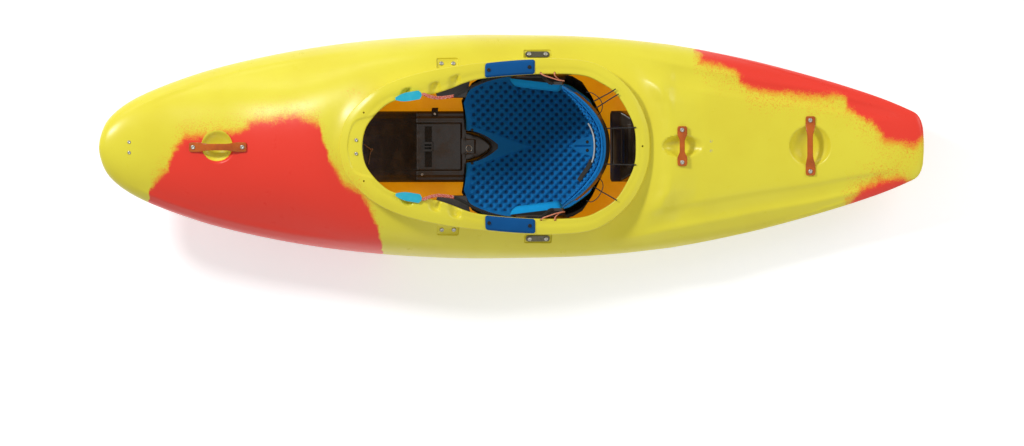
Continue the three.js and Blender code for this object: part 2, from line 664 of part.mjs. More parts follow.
function addThighGrips() {
  sides.forEach(([word, side]) => {
    const frame = pocketFrame(thighPocket, side);
    add(`thigh_grip_${word}`, thighForm(side), blackPlastic).applyMatrix4(frame);
    [['front', -1], ['rear', 1]].forEach(([end, way]) => {
      const spot = inFrame(frame, (way * thighPocket.pitch) / 2, 0, gap - thighPocket.deep);
      placeBolt(`thigh_bolt_${word}_${end}`, bolt, spot, boss + thigh.skin + bolt.crown);
    });
  });
}

// Seat surface: x along the seat, v from -1 to 1 across it
const seatFront = rimFront + seat.legRoom;
const seatOutline = curveThrough(seatOutlineShares);
const seatBase = curveThrough(seatBaseShares);
const panTop = wall + seat.clear + seat.panSkin;
function seatPoint(u, v, margin, lift) {
  const half = seatOutline(u) * seatHalf + margin;
  const x = seatFront - margin + u * (seatLong + 2 * margin);
  const rise = seatBase(u) * seat.frontRise + seat.sideRise * Math.abs(v) ** seat.sideCurlShare;
  return vec(x, v * half, panTop + rise + lift);
}

function notchForm() {
  const tip = seat.notchHalf * seat.notchTipShare;
  const shape = new THREE.Shape();
  shape.moveTo(-overrun, -seat.notchHalf);
  shape.lineTo(0, -seat.notchHalf);
  shape.quadraticCurveTo(seat.notchLong / 2, -seat.notchHalf, seat.notchLong, -tip);
  shape.lineTo(seat.notchLong, tip);
  shape.quadraticCurveTo(seat.notchLong / 2, seat.notchHalf, 0, seat.notchHalf);
  shape.lineTo(-overrun, seat.notchHalf);
  const cut = new THREE.ExtrudeGeometry(shape, { depth: height, bevelEnabled: false, curveSegments: 5 });
  return solid(shifted(cut, seatFront, 0, 0));
}

const hipPlane = seatHalf + seat.panLip - seat.panSkin / 2;
const seatAt = (share) => seatFront + share * seatLong;
const wingFace = (z) => hipPlane - hip.lean * THREE.MathUtils.mapLinear(z, hip.wingFoot, hip.wingTop, 0, 1);
const wing = (side, outward) => (u, v) => {
  const rear = THREE.MathUtils.lerp(seatAt(hip.rearShare), seatAt(hip.topRearShare), v);
  const z = THREE.MathUtils.lerp(hip.wingFoot, hip.wingTop, v);
  const y = wingFace(z) + (outward ? seat.panSkin : 0);
  return vec(THREE.MathUtils.lerp(seatAt(hip.frontShare), rear, u), side * y, z);
};

function addSeat() {
  const { along, across } = seatSteps;
  const pan = (lift) => (u, v) => seatPoint(u, 2 * v - 1, seat.panLip, lift);
  let shell = solid(between(pan(-seat.panSkin), pan(0), along, across));
  sides.forEach(([, side]) => {
    const tall = seat.clear + seat.panSkin;
    const rail = box(runner.long, runner.wide, tall);
    const spot = [seatAt(runner.seatShare), side * runner.offset, wall + gap + tall / 2];
    const ski = solid(shifted(rail, ...spot));
    const above = (u, v) => seatPoint(u, 2 * v - 1, seat.panLip, height);
    shell = shell.add(ski.subtract(solid(between(pan(0), above, along, across))));
  });
  sides.forEach(([, side]) => {
    shell = shell.add(solid(between(wing(side, false), wing(side, true), 4, 3)));
  });
  add('seat_pan', shell.subtract(notchForm()), blackPlastic);
  const crown = (u, v) => {
    const edge = Math.min(1, seat.padEdgeShare * Math.min(u, 1 - u, v, 1 - v));
    const swell = THREE.MathUtils.lerp(seat.padRim, seat.padThick, Math.sqrt(edge));
    return seatPoint(u, 2 * v - 1, 0, gap + swell);
  };
  const base = (u, v) => seatPoint(u, 2 * v - 1, 0, gap);
  add('seat_pad', solid(between(base, crown, along, across)).subtract(notchForm()), blueFoam);
}

function addHipPads() {
  sides.forEach(([word, side]) => {
    const pad = (inner) => (u, v) => {
      const x = THREE.MathUtils.lerp(seatAt(hip.padFrontShare), seatAt(hip.padRearShare), u);
      const edge = Math.min(1, hip.padTaperShare * Math.min(u, 1 - u) + hip.padEndShare);
      const swell = (hip.padThick / 2) * (1 + Math.sin(Math.PI * v)) * Math.sqrt(edge);
      const z = THREE.MathUtils.lerp(hip.padFoot, hip.padTop, v);
      return vec(x, side * (wingFace(z) - gap - (inner ? swell : 0)), z);
    };
    add(`hip_pad_${word}`, between(pad(true), pad(false), 8, 6), blueFoam);
  });
}

function bracketForm(side) {
  const frame = pocketFrame(hangerPocket, side);
  const top = -(hangerPocket.deep + boss + gap);
  const flange = solid(
    shifted(box(hangerPocket.long, hangerPocket.wide, bracket.skin), 0, 0, top - bracket.skin / 2),
    frame,
  );
  const web = (outward) => (u, v) => {
    const edge = -side * (hangerPocket.wide / 2 - bracket.skin);
    const shoulder = vec((u - 1 / 2) * bracket.web, edge, top - bracket.skin / 2).applyMatrix4(frame);
    const inside = side * (hipPlane + seat.panSkin + gap);
    const drop = THREE.MathUtils.lerp(shoulder.z, bracket.foot, v);
    const bend = THREE.MathUtils.smoothstep(v, 0, 1 / 2);
    const y = THREE.MathUtils.lerp(shoulder.y, inside, bend);
    return vec(shoulder.x, y + side * (outward ? bracket.skin : 0), drop);
  };
  return flange.add(solid(between(web(false), web(true), 3, 6)));
}

function addHangers() {
  sides.forEach(([word, side]) => {
    const frame = pocketFrame(hangerPocket, side);
    const plate = shifted(box(hangerPlate.long, hangerPlate.wide, hangerPlate.thick), 0, 0, 0);
    const seatHeight = gap - hangerPocket.deep + hangerPlate.thick / 2;
    const first = bores.length;
    [['front', -1], ['rear', 1]].forEach(([end, way]) => {
      const lift = seatHeight + hangerPlate.thick / 2 + gap;
      const spot = inFrame(frame, (way * hangerPocket.pitch) / 2, 0, lift);
      const reach = boss + hangerPlate.thick + bracket.skin / 2 + 3 * gap;
      placeBolt(`hanger_bolt_${word}_${end}`, bolt, spot, reach);
    });
    const holes = bores.slice(first);
    const drilled = (form) => form.subtract(holes[0]).subtract(holes[1]);
    add(`hanger_plate_${word}`, drilled(solid(plate, inFrame(frame, 0, 0, seatHeight))), greyMetal);
    add(`hanger_bracket_${word}`, drilled(bracketForm(side)), blackPlastic);
  });
}

// Backband: v from -1 to 1 round the band, up from 0 at its foot to 1 at its top
const bandTop = curveThrough(bandTopShares);
const bandRear = rimRear - band.rearRoom;
function bandPoint(v, up, setBack) {
  const plan = (t) => vec(bandRear - band.reach * Math.abs(t) ** band.bendShare, bandHalf * t, 0);
  const nudge = 1e-3;
  const line = plan(v + nudge).sub(plan(v - nudge)).normalize();
  const out = vec(line.y, -line.x, 0);
  const foot = band.foot + band.footRise * v * v;
  const top = bandTop(Math.abs(v)) * height;
  return plan(v).addScaledVector(out, setBack).setZ(THREE.MathUtils.lerp(foot, top, up));
}

function addBackband() {
  const face = (front) => (u, v) => {
    const around = 2 * u - 1;
    const end = Math.min(1, band.endRoundShare * Math.min(u, 1 - u));
    const upward = THREE.MathUtils.lerp(band.browShare, 1 - band.browShare, v);
    const swell = Math.sqrt(Math.sin(Math.PI * upward) * end);
    const thick = THREE.MathUtils.lerp(band.edge, band.thick, swell);
    return bandPoint(around, v, front ? -thick : 0);
  };
  add('backband_pad', between(face(true), face(false), bandSteps.round, bandSteps.up), blueFoam);
  const shell = (front) => (u, v) => {
    const around = (2 * u - 1) * band.shellShare;
    const point = bandPoint(around, v, front ? gap : gap + band.shellSkin);
    return point.setZ(THREE.MathUtils.lerp(point.z, band.shellMiddle, band.shellPinchShare));
  };
  add('backband_shell', between(shell(true), shell(false), bandSteps.round, 3), blackPlastic);
}

// Fittings at the band's two ends, where the cords pull
function addBandEnds() {
  const tip = bandPoint(1, 1 / 2, 0);
  sides.forEach(([word, side]) => {
    const block = box(bandEnd.long, bandEnd.wide, bandEnd.tall);
    const spot = [tip.x - bandEnd.ahead, side * (tip.y + gap + bandEnd.wide / 2), tip.z];
    add(`band_end_${word}`, shifted(block, ...spot), blackPlastic);
  });
}

function addRimPads() {
  const edges = [outerEdge, innerEdge];
  const halfAt = (edge, x) => {
    let low = 0;
    let high = 1 / 2;
    for (let i = 0; i < 40; i += 1) {
      const middle = (low + high) / 2;
      if (edge.getPoint(middle).x < x) low = middle;
      else high = middle;
    }
    return edge.getPoint(low).y;
  };
  sides.forEach(([word, side]) => {
    const sheet = (lift) => (u, v) => {
      const x = rimAt(THREE.MathUtils.lerp(rimPad.frontShare, rimPad.rearShare, u));
      const [outer, inner] = edges.map((edge) => halfAt(edge, x));
      const y = THREE.MathUtils.lerp(inner, outer - rim.edge, v);
      return vec(x, side * y, rimTop(x) + lift);
    };
    const form = between(sheet(rimPad.clear), sheet(rimPad.thick), rimPadSteps.along, rimPadSteps.across);
    add(`rim_pad_${word}`, form, blueRubber);
  });
}

// An upright moulding, hollow below: its outline seen from the side, pulled to a half width
function upright(points, halfWidth) {
  const shape = new THREE.Shape(points.map(([x, z]) => new THREE.Vector2(x, z)));
  const options = { depth: 2 * halfWidth, bevelEnabled: false };
  return solid(new THREE.ExtrudeGeometry(shape, options).rotateX(Math.PI / 2).translate(0, halfWidth, 0));
}

// Places along the floor inside the shell, just clear of it
function floorLine(from, to, count, lift) {
  const line = [];
  for (let i = 0; i <= count; i += 1) {
    const x = THREE.MathUtils.lerp(from, to, i / count);
    line.push([x, floorOf(innerSkin, x, 0) + lift]);
  }
  return line;
}

function deckLine(from, to, count, half) {
  const line = [];
  for (let i = 0; i <= count; i += 1) {
    const x = THREE.MathUtils.lerp(from, to, i / count);
    line.push([x, topOf(innerSkin, x, half) - pillarClear]);
  }
  return line;
}

function addFrontPillar() {
  const p = frontPillar;
  const [front, rampTop, rampFoot] = [p.front, p.rampTop, p.rampFoot].map((aft) => rimFront + aft);
  const rear = seatFront + p.noseReach;
  const outline = [
    ...floorLine(front, rear, 6, gap),
    [rear, p.trayTop],
    [rampFoot, p.trayTop],
    ...deckLine(rampTop, front, 3, p.halfWidth),
  ];
  const inside = [
    ...floorLine(front + p.skin, rear - p.skin, 6, -overrun),
    [rear - p.skin, p.trayTop - p.step - p.skin],
    [rampFoot, p.trayTop - p.step - p.skin],
    ...deckLine(rampTop, front + p.skin, 3, p.halfWidth).map(([x, z]) => [x - p.skin / 2, z - p.skin]),
  ];
  const panelRear = rimFront + p.panelRear;
  const panel = box(panelRear - rampFoot, 2 * p.panelHalf, 2 * p.step);
  let form = upright(outline, p.halfWidth).subtract(upright(inside, p.halfWidth - p.skin));
  form = form.subtract(solid(shifted(panel, (panelRear + rampFoot) / 2, 0, p.trayTop)));
  sides.forEach(([, side]) => {
    const wedge = new THREE.Shape();
    wedge.moveTo(rear - p.noseLong, p.noseHalf);
    wedge.quadraticCurveTo(rear - p.noseTip, p.noseHalf - p.noseTip, rear, p.noseTip);
    wedge.lineTo(rear, p.halfWidth + overrun);
    wedge.lineTo(rear - p.noseLong, p.halfWidth + overrun);
    const cut = new THREE.ExtrudeGeometry(wedge, { depth: height, bevelEnabled: false });
    form = form.subtract(solid(side > 0 ? cut : cut.clone().scale(1, -1, 1)));
  });
  add('front_pillar', form, blackPlastic);
}

function addRearPillar() {
  const p = rearPillar;
  const places = [p.foot, p.front, p.waist, p.deck, p.rear];
  const [foot, front, waist, deckStart, rear] = places.map((aft) => rimRear + aft);
  const outline = [
    ...floorLine(foot, rear, 9, gap + p.footClear),
    ...deckLine(rear, deckStart, 3, p.waistHalf),
    [waist, p.backTop],
    [front, p.frontTop],
  ];
  const inside = [
    ...floorLine(foot + p.skin, rear - p.skin, 6, -overrun),
    ...deckLine(rear - p.skin, deckStart, 3, p.waistHalf).map(([x, z]) => [x, z - p.skin]),
    [waist, p.backTop - p.trough - p.skin],
    [front + p.skin, p.frontTop - p.trough - p.skin],
  ];
  let form = upright(outline, p.frontHalf).subtract(upright(inside, p.waistHalf - p.skin));
  sides.forEach(([, side]) => {
    const trim = box(rear - waist + overrun, p.frontHalf, 2 * height);
    const y = side * (p.waistHalf + p.frontHalf / 2);
    form = form.subtract(solid(shifted(trim, waist + (rear - waist + overrun) / 2, y, 0)));
  });
  const slope = Math.atan2(p.backTop - p.frontTop, waist - front);
  const trough = box(2 * (waist - front), 2 * p.troughHalf, 2 * p.trough).rotateY(-slope);
  form = form.subtract(solid(shifted(trough, (front + waist) / 2, 0, (p.frontTop + p.backTop) / 2)));
  add('rear_pillar', without(form, [dishForm(barDish, wall + pillarClear), ...bores]), blackPlastic);
}

// Footrest
const trackX = [track.frontShare, track.rearShare].map(alongAt);
const trackZ = track.centreShare * height;
const sideOf = (skin, x, z) => hits(skin, vec(x, beam, z), vec(0, -1, 0))[0].y;
const trackFace = Math.min(...trackX.map((x) => sideOf(innerSkin, x, trackZ - track.tall / 2))) - gap;

function addFootrest() {
  const f = footrest;
  const x = alongAt(f.alongShare);
  const outline = (inset) => {
    const shape = new THREE.Shape();
    const [half, low, high] = [f.halfWidth - inset, f.foot + inset, f.top - inset];
    shape.moveTo(-half + f.corner, low);
    shape.lineTo(half - f.corner, low);
    shape.quadraticCurveTo(half, low, half, low + f.corner);
    shape.lineTo(half, high - f.corner);
    shape.quadraticCurveTo(half, high, half - f.corner, high);
    shape.lineTo(-half + f.corner, high);
    shape.quadraticCurveTo(-half, high, -half, high - f.corner);
    shape.lineTo(-half, low + f.corner);
    shape.quadraticCurveTo(-half, low, -half + f.corner, low);
    return shape;
  };
  const standing = new THREE.Matrix4().makeBasis(vec(0, 1, 0), vec(0, 0, 1), vec(1, 0, 0));
  const sheet = (inset, depth) => new THREE.ExtrudeGeometry(outline(inset), { depth, bevelEnabled: false });
  let plate = solid(sheet(0, f.skin), standing);
  sides.forEach(([, side]) => {
    const reach = trackFace - f.halfWidth;
    const ear = box(f.skin, reach + f.corner, f.ear);
    const y = side * (trackFace - (reach + f.corner) / 2);
    plate = plate.add(solid(shifted(ear, f.skin / 2, y, trackZ + track.tall / 2 + gap + f.ear / 2)));
  });
  add('footrest_plate', plate, blackPlastic).position.x = x;
  const foam = add('footrest_pad', solid(sheet(f.padInset, f.padThick), standing), blueFoam);
  foam.position.x = x + f.skin + gap;
  sides.forEach(([word, side]) => {
    const bar = box(trackX[1] - trackX[0], track.thick, track.tall);
    const y = side * (trackFace - track.thick / 2);
    const rail = solid(shifted(bar, (trackX[0] + trackX[1]) / 2, y, trackZ));
    const drilled = trackBoltShares.reduce((form, share, i) => {
      const bx = alongAt(share);
      const skinY = sideOf(outerSkin, bx, trackZ);
      const frame = new THREE.Matrix4().makeRotationX((-side * Math.PI) / 2);
      frame.setPosition(bx, side * (skinY + gap + bolt.shank), trackZ);
      placeBolt(`track_bolt_${word}_${i ? 'rear' : 'front'}`, bolt, frame, skinY - trackFace + track.thick);
      return form.subtract(bores.at(-1));
    }, rail);
    add(`footrest_track_${word}`, drilled, blackPlastic);
  });
}

// Pull tabs lie on the coaming's inner edge; their chained cords run back under it
function tabForm() {
  const shape = new THREE.Shape();
  const [far, half] = [tab.long / 2, tab.wide / 2];
  shape.moveTo(-far, -tab.tip / 2);
  shape.quadraticCurveTo(-far / 2, -half, 0, -half);
  shape.lineTo(far - tab.tip, -half);
  shape.lineTo(far, -tab.tip / 2);
  shape.lineTo(far, tab.tip / 2);
  shape.lineTo(far - tab.tip, half);
  shape.lineTo(0, half);
  shape.quadraticCurveTo(-far / 2, half, -far, tab.tip / 2);
  return new THREE.ExtrudeGeometry(shape, { depth: tab.thick, bevelEnabled: false, curveSegments: 5 });
}

// Route of the chained cord on the starboard side, from the tab's rear end
const chainRoute = [
  [-265.2, 165.2, 437.6], [-261, 165.9, 436.8], [-252, 163, 436], [-238, 157.5, 431], [-217, 154, 417],
  [-192, 156, 402.5], [-167, 162, 387.5], [-140, 178, 368], [-105, 201, 350], [-55, 217, 327],
  [5, 227, 304], [58, 229, 287], [90, 226, 281], [106, 213, 277], [118, 202, 274.8],
  [126, 199.4, 274.4], [134.7, 199.4, 274.4],
];

function addPulls() {
  sides.forEach(([word, side]) => {
    const x = rimAt(tab.rimShare);
    const pitch = Math.atan2(rimTop(x - tab.long / 2) - rimTop(x + tab.long / 2), tab.long);
    const mesh = add(`pull_tab_${word}`, tabForm(), turquoise);
    mesh.rotation.set(0, pitch, side * tab.tilt, 'ZYX');
    mesh.position.set(x, side * tab.acrossShare * rim.halfWidth, rimTop(x) + tab.lift);
    const points = chainRoute.map(([px, py, pz]) => vec(px, side * py, pz));
    add(`pull_cord_${word}`, tube(points, chain.diameter, chain.sides, chain.steps), redCord);
  });
}

// Cords from the coaming's holes round the backband's ends, starboard side
const bandCordRoute = [
  [96.6, 232, 301], [96.6, 231.6, 309], [98.5, 229.5, 314.6], [107, 224, 314.5], [121, 219, 306],
  [144, 211, 292], [158, 207.5, 284], [165.5, 206.5, 278], [164.5, 206.8, 272], [157, 208, 273],
  [148, 213, 283], [142.5, 220, 296], [140.3, 224.5, 304.8], [140, 229.3, 307], [140, 232.2, 301.5],
  [140, 232.5, 294],
];
const bandHoles = [[96.6, 232], [140, 232.5]];
// Elastic lines from behind the backband to the coaming's rear edge
const rearLineRoute = [[297.8, 56, 298], [345, 57, 296], [385, 58, 295.4], [412, 59, 293.8]];

function addLines() {
  bandHoles.forEach(([x, y]) => sides.forEach(([, side]) => {
    const hole = new THREE.CylinderGeometry(line.hole, line.hole, 4 * rim.skin, line.sides);
    bores.push(solid(shifted(hole.rotateX(Math.PI / 2), x, side * y, rimTop(x))));
  }));
  const routes = [
    ['backband_cord', bandCordRoute, peachCord, 30],
    ['rear_elastic', rearLineRoute, blackCord, 10],
  ];
  routes.forEach(([name, route, finish, steps]) => {
    sides.forEach(([word, side]) => {
      const points = route.map(([x, y, z]) => vec(x, side * y, z));
      add(`${name}_${word}`, tube(points, line.diameter, line.sides, steps), finish);
    });
  });
}

function addStrap() {
  const x = rimFront + strap.aft;
  const base = frontPillar.trayTop - frontPillar.step + gap;
  const web = box(strap.wide, 2 * frontPillar.panelHalf - 2 * strap.end, strap.thick);
  add('tray_strap', shifted(web, x, 0, base + strap.thick / 2), webbing);
  const frame = solid(box(buckle.wide, buckle.long, buckle.thick));
  const holes = [-1, 1].map((end) => {
    const y = (end * (buckle.window + buckle.bridge)) / 2;
    return solid(shifted(box(strap.wide, buckle.window, 2 * buckle.thick), 0, y, 0));
  });
  const lift = base + strap.thick + gap + buckle.thick / 2;
  add('strap_buckle', frame.subtract(holes[0]).subtract(holes[1]), blackPlastic).position.set(x, 0, lift);
}

// The shell comes last, when every bore through it is known
function addShell() {
  const dishes = [bowDish, barDish, sternDish];
  const pockets = [thighPocket, hangerPocket];
  const cuts = (dishSkin, pocketSkin) => [
    ...dishes.map((dish) => dishForm(dish, dishSkin)),
    ...pockets.flatMap((pocket) => sides.map(([, side]) => pocketForm(pocket, side, pocketSkin))),
  ];
  const cavity = without(solid(cavityForm), cuts(wall, boss));
  let shell = without(solid(outerForm), [solid(mouthForm()), ...cuts(0, 0)]);
  shell = shell.add(solid(coamingForm())).subtract(cavity);
  add('hull_shell', without(shell, [rimPanelForm(), ...fingerGrips(), ...bores]), yellow);
}

addHandHolds();
addDeckBolts();
addThighGrips();
addSeat();
addHipPads();
addHangers();
addBackband();
addBandEnds();
addRimPads();
addRimBolts();
addFrontPillar();
addRearPillar();
addFootrest();
addPulls();
addLines();
addStrap();
addShell();

export default kayak;
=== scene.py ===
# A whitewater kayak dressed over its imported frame: sprayed shell with an undercut coaming,
# egg-crate foam seat, backband, hand holds, cords and a plain studio.
import math

import bpy
import numpy as np
from bpy.props import FloatProperty, FloatVectorProperty, IntProperty, PointerProperty
from mathutils import Matrix, Vector


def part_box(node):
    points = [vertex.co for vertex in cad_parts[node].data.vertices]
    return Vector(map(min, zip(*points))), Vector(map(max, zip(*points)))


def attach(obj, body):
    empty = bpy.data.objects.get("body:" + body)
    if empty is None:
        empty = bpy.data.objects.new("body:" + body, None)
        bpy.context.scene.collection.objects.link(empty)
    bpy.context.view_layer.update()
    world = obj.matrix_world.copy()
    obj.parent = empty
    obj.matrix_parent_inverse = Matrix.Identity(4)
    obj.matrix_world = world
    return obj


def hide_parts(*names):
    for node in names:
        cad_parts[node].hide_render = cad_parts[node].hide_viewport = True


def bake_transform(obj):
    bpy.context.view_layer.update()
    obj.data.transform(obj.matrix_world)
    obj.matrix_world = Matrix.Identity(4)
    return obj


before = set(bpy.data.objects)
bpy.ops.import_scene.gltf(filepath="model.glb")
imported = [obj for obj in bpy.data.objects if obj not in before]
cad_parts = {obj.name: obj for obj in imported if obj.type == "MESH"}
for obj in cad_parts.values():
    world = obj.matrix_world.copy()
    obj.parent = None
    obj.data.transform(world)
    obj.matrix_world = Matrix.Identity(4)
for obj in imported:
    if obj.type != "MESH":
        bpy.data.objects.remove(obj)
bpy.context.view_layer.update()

bl_info = {
    "name": "Whitewater kayak",
    "version": (1, 0, 0),
    "blender": (4, 5, 0),
    "location": "3D View > Sidebar > Kayak",
    "description": "Dresses the packed kayak in moulded plastic, foam, metal and cord",
    "category": "Add Mesh",
}

MM = 0.001
SIDES = (("left", -1), ("right", 1))

# Hull: along, half beam, keel, rail, deck, fullness of crown, side and floor, all as shares
LENGTH, BEAM, HEIGHT, WALL = 2.6, 0.706, 0.462, 0.005
TUCK, DROP, CHINE = 0.06, 0.45, 0.9
BEAD = {"inset": 0.030, "reach": 0.008, "high": 0.0038}
SCOOP = {"depth": 0.015, "along": 0.235, "reach": 0.075, "turn": 0.58, "turn_reach": 0.22}
STATIONS = (
    (0.0, 0.02, 0.825, 0.835, 0.849, 0.55, 0.55, 0.1),
    (0.0013, 0.09, 0.798, 0.818, 0.873, 0.56, 0.56, 0.12),
    (0.0055, 0.187, 0.767, 0.801, 0.89, 0.58, 0.56, 0.15),
    (0.0127, 0.272, 0.719, 0.777, 0.9, 0.6, 0.57, 0.18),
    (0.0273, 0.37, 0.644, 0.743, 0.901, 0.62, 0.58, 0.22),
    (0.0492, 0.467, 0.538, 0.695, 0.89, 0.63, 0.58, 0.26),
    (0.0831, 0.575, 0.412, 0.623, 0.869, 0.62, 0.56, 0.3),
    (0.1256, 0.683, 0.279, 0.555, 0.863, 0.6, 0.55, 0.34),
    (0.1742, 0.776, 0.18, 0.497, 0.862, 0.58, 0.56, 0.38),
    (0.2288, 0.858, 0.108, 0.446, 0.886, 0.58, 0.62, 0.42),
    (0.2834, 0.919, 0.06, 0.408, 0.907, 0.62, 0.72, 0.46),
    (0.338, 0.961, 0.033, 0.381, 0.897, 0.7, 0.82, 0.48),
    (0.3926, 0.988, 0.014, 0.347, 0.852, 0.76, 0.88, 0.5),
    (0.4472, 1.0, 0.0, 0.323, 0.763, 0.79, 0.9, 0.5),
    (0.5018, 0.997, 0.0, 0.309, 0.664, 0.8, 0.9, 0.5),
    (0.5661, 0.987, 0.0, 0.299, 0.579, 0.8, 0.88, 0.5),
    (0.6232, 0.96, 0.015, 0.292, 0.542, 0.8, 0.8, 0.5),
    (0.6778, 0.916, 0.051, 0.292, 0.568, 0.79, 0.66, 0.5),
    (0.698, 0.894, 0.068, 0.292, 0.582, 0.78, 0.6, 0.5),
    (0.7324, 0.849, 0.1, 0.292, 0.538, 0.78, 0.5, 0.5),
    (0.787, 0.764, 0.142, 0.296, 0.49, 0.76, 0.42, 0.5),
    (0.8416, 0.661, 0.2, 0.306, 0.452, 0.75, 0.38, 0.48),
    (0.8962, 0.547, 0.27, 0.333, 0.443, 0.75, 0.38, 0.46),
    (0.9448, 0.431, 0.333, 0.367, 0.443, 0.75, 0.4, 0.44),
    (0.9788, 0.331, 0.377, 0.398, 0.451, 0.74, 0.42, 0.42),
    (0.9921, 0.277, 0.396, 0.411, 0.449, 0.72, 0.45, 0.42),
    (0.9982, 0.185, 0.404, 0.416, 0.441, 0.7, 0.5, 0.42),
    (1.0, 0.06, 0.411, 0.419, 0.432, 0.68, 0.5, 0.42),
)
CAVITY_ROWS = (3, 23)
MESH = {"side": 26, "cavity_rings": 130, "cavity_deck": 30, "cavity_side": 16, "mouth": 240, "coaming": 460}

# Coaming: outer edge along and across, inner edge along and across, as shares
RIM = {"front": -0.52598, "length": 0.965, "half": 0.277, "lip": 0.016, "skin": 0.010}
NECK = {"inset": 0.024, "skin": 0.007, "drop": 0.110}
RIM_SHARES = (
    (0.0, 0.0, 0.076, 0.0), (0.008, 0.182, 0.083, 0.165), (0.027, 0.341, 0.099, 0.278),
    (0.069, 0.506, 0.132, 0.409), (0.128, 0.66, 0.174, 0.512), (0.205, 0.783, 0.244, 0.564),
    (0.311, 0.878, 0.327, 0.621), (0.437, 0.946, 0.437, 0.758), (0.578, 0.995, 0.578, 0.812),
    (0.706, 1.0, 0.7, 0.824), (0.804, 0.961, 0.785, 0.801), (0.875, 0.841, 0.837, 0.727),
    (0.938, 0.636, 0.889, 0.602), (0.976, 0.409, 0.931, 0.375), (0.995, 0.203, 0.951, 0.194),
    (1.0, 0.0, 0.955, 0.0),
)
RIM_TOP = (
    (0.0, 1.0), (0.11, 0.997), (0.172, 0.975), (0.237, 0.948), (0.303, 0.913), (0.369, 0.866),
    (0.496, 0.771), (0.561, 0.7225), (0.626, 0.682), (0.692, 0.654), (0.763, 0.643),
    (0.884, 0.636), (0.955, 0.633), (1.0, 0.62),
)
CROWN = {"fall": 0.0085, "reach": 0.036, "bead": 0.0012}
GRIPS = (0.221, 0.31, 0.3735)
GRIP = {"half": 0.021, "across": 0.026, "deep": 0.016, "under": 0.68}
RIM_PANEL = {"inset": 0.025, "front": 0.035, "rear": 0.135, "deep": 0.0045}
FILLET = {"high": 0.012, "reach": 0.034}

# Dishes and pockets in the deck: place along, half sizes, depth
DISHES = {
    "bow": (0.1462, 0.050, 0.050, 0.026),
    "bar": (0.7110, 0.070, 0.0335, 0.024),
    "stern": (0.862, 0.063, 0.063, 0.026),
}
POCKETS = {"thigh": (0.4246, 0.746, 0.033, 0.017), "hanger": (0.5304, 0.8255, 0.042, 0.014)}
POCKET = {"deep": 0.0045, "corner": 0.006, "draft": 0.003, "room": 0.006, "under": 2.5}

# Rear deck: half width of its middle panel, width of the valley beside it, and the step behind the
# coaming by place along the boat, with how far that step bends forward by distance off the middle
RIDGE_EDGE = (
    (0.30, 0.235), (0.40, 0.222), (0.495, 0.2), (0.77, 0.15), (0.93, 0.128), (1.045, 0.106), (1.13, 0.093),
    (1.25, 0.08),
)
RIDGE_VALLEY = ((0.4, 0.062), (0.69, 0.06), (1.05, 0.05), (1.25, 0.03))
RIDGE = {"panel": 0.005, "valley": -0.004, "lip": 0.004, "sunk": -0.002}
CREST_HEIGHT = (
    (0.44, 0), (0.4757, 0.0042), (0.4956, 0.0124), (0.515, 0.0185), (0.535, 0.0165), (0.57, 0.0075),
    (0.6042, 0.001), (0.64, 0),
)
CREST_BEND = ((0, 0), (0.09, 0.003), (0.14, 0.014), (0.206, 0.058), (0.24, 0.095), (0.3, 0.15))

# Holes for the cords in the neck, and for small screws in the coaming's top: places, and then
# radius, reach down and reach up
CORD_HOLES = ((0.0966, 0.232, 0.3), (0.14, 0.2325, 0.29))
SCREW_HOLES = ((0.417, 0.0), (-0.447, 0.108), (-0.447, -0.108))
CORD_HOLE = (0.0032, 0.04, 0.02)
SCREW_HOLE = (0.003, 0.03, 0.02)

# Seat, hips and backband
SEAT = {
    "front": 0.4342, "long": 0.426, "half": 0.221, "thick": 0.020, "rim": 0.009, "pan": 0.005,
    "clear": 0.024, "front_rise": 0.046, "side_rise": 0.062, "curl": 4, "notch": 0.098,
    "notch_half": 0.051, "round": 0.022, "border": 0.013,
}
SEAT_OUTLINE = (
    (0, 0.62), (0.04, 0.8), (0.12, 0.94), (0.25, 1), (0.6, 1), (0.78, 0.97), (0.87, 0.86),
    (0.94, 0.64), (1, 0.4),
)
SEAT_BASE = ((0, 1), (0.15, 0.5), (0.35, 0.06), (0.5, 0), (0.75, 0.05), (1, 0.5))
HIP = {
    "plane": 0.2265, "lean": 0.010, "foot": 0.092, "top": 0.245, "front": 0.373, "rear": 0.76,
    "pad_foot": 0.140, "pad_top": 0.236, "thick": 0.050, "corner": 0.2,
}
BAND = {
    "rear": 0.301, "reach": 0.143, "half": 0.1945, "bend": 2.3, "foot": 0.214, "foot_rise": 0.032,
    "thick": 0.030, "edge": 0.008, "end": 0.985, "end_round": 0.06,
}
BAND_TOP = (
    (0, 0.717), (0.35, 0.72), (0.57, 0.733), (0.81, 0.738), (0.9, 0.723), (0.963, 0.692), (1, 0.6545),
)
RIM_PAD = {
    "front": 0.469, "rear": 0.6264, "across": 0.021, "corner": 0.008, "flange": 0.0036, "high": 0.0042,
}
# Strips on the backband's front: from and to as shares of its half, gap, thickness, foot and top
BAND_STRIPS = (
    # The pale strip is a painted highlight: a grey band standing for the shine on the black band's edge
    ("backband_liner", "highlight_band", (-0.32, 0.46, 0.0004, 0.0042, -0.006, 0.023)),
    ("backband_strap", "webbing", (-0.68, -0.28, 0.0005, 0.0130, 0.004, 0.020)),
)
# Foot of the front pillar, the strap's loose end and the hangers' outer plates
PILLAR_BASE = {"x": -0.1335, "long": 0.060, "wide": 0.056, "corner": 0.040, "edge": 0.003, "rise": 0.004}
STRAP_TAIL = {"x": -0.284, "wide": 0.020, "y": 0.096, "long": 0.027, "z": 0.0668, "droop": 0.012}
STRAP_THICK = 0.0022
WASHER = {"long": 0.038, "wide": 0.0105, "corner": 0.0104, "thick": 0.0033, "soft": 0.0009, "bevel": 0.0012}
# Room between pieces that lie on each other, and under the pillars
GAP = 0.0003
PILLAR_FOOT = 0.0015

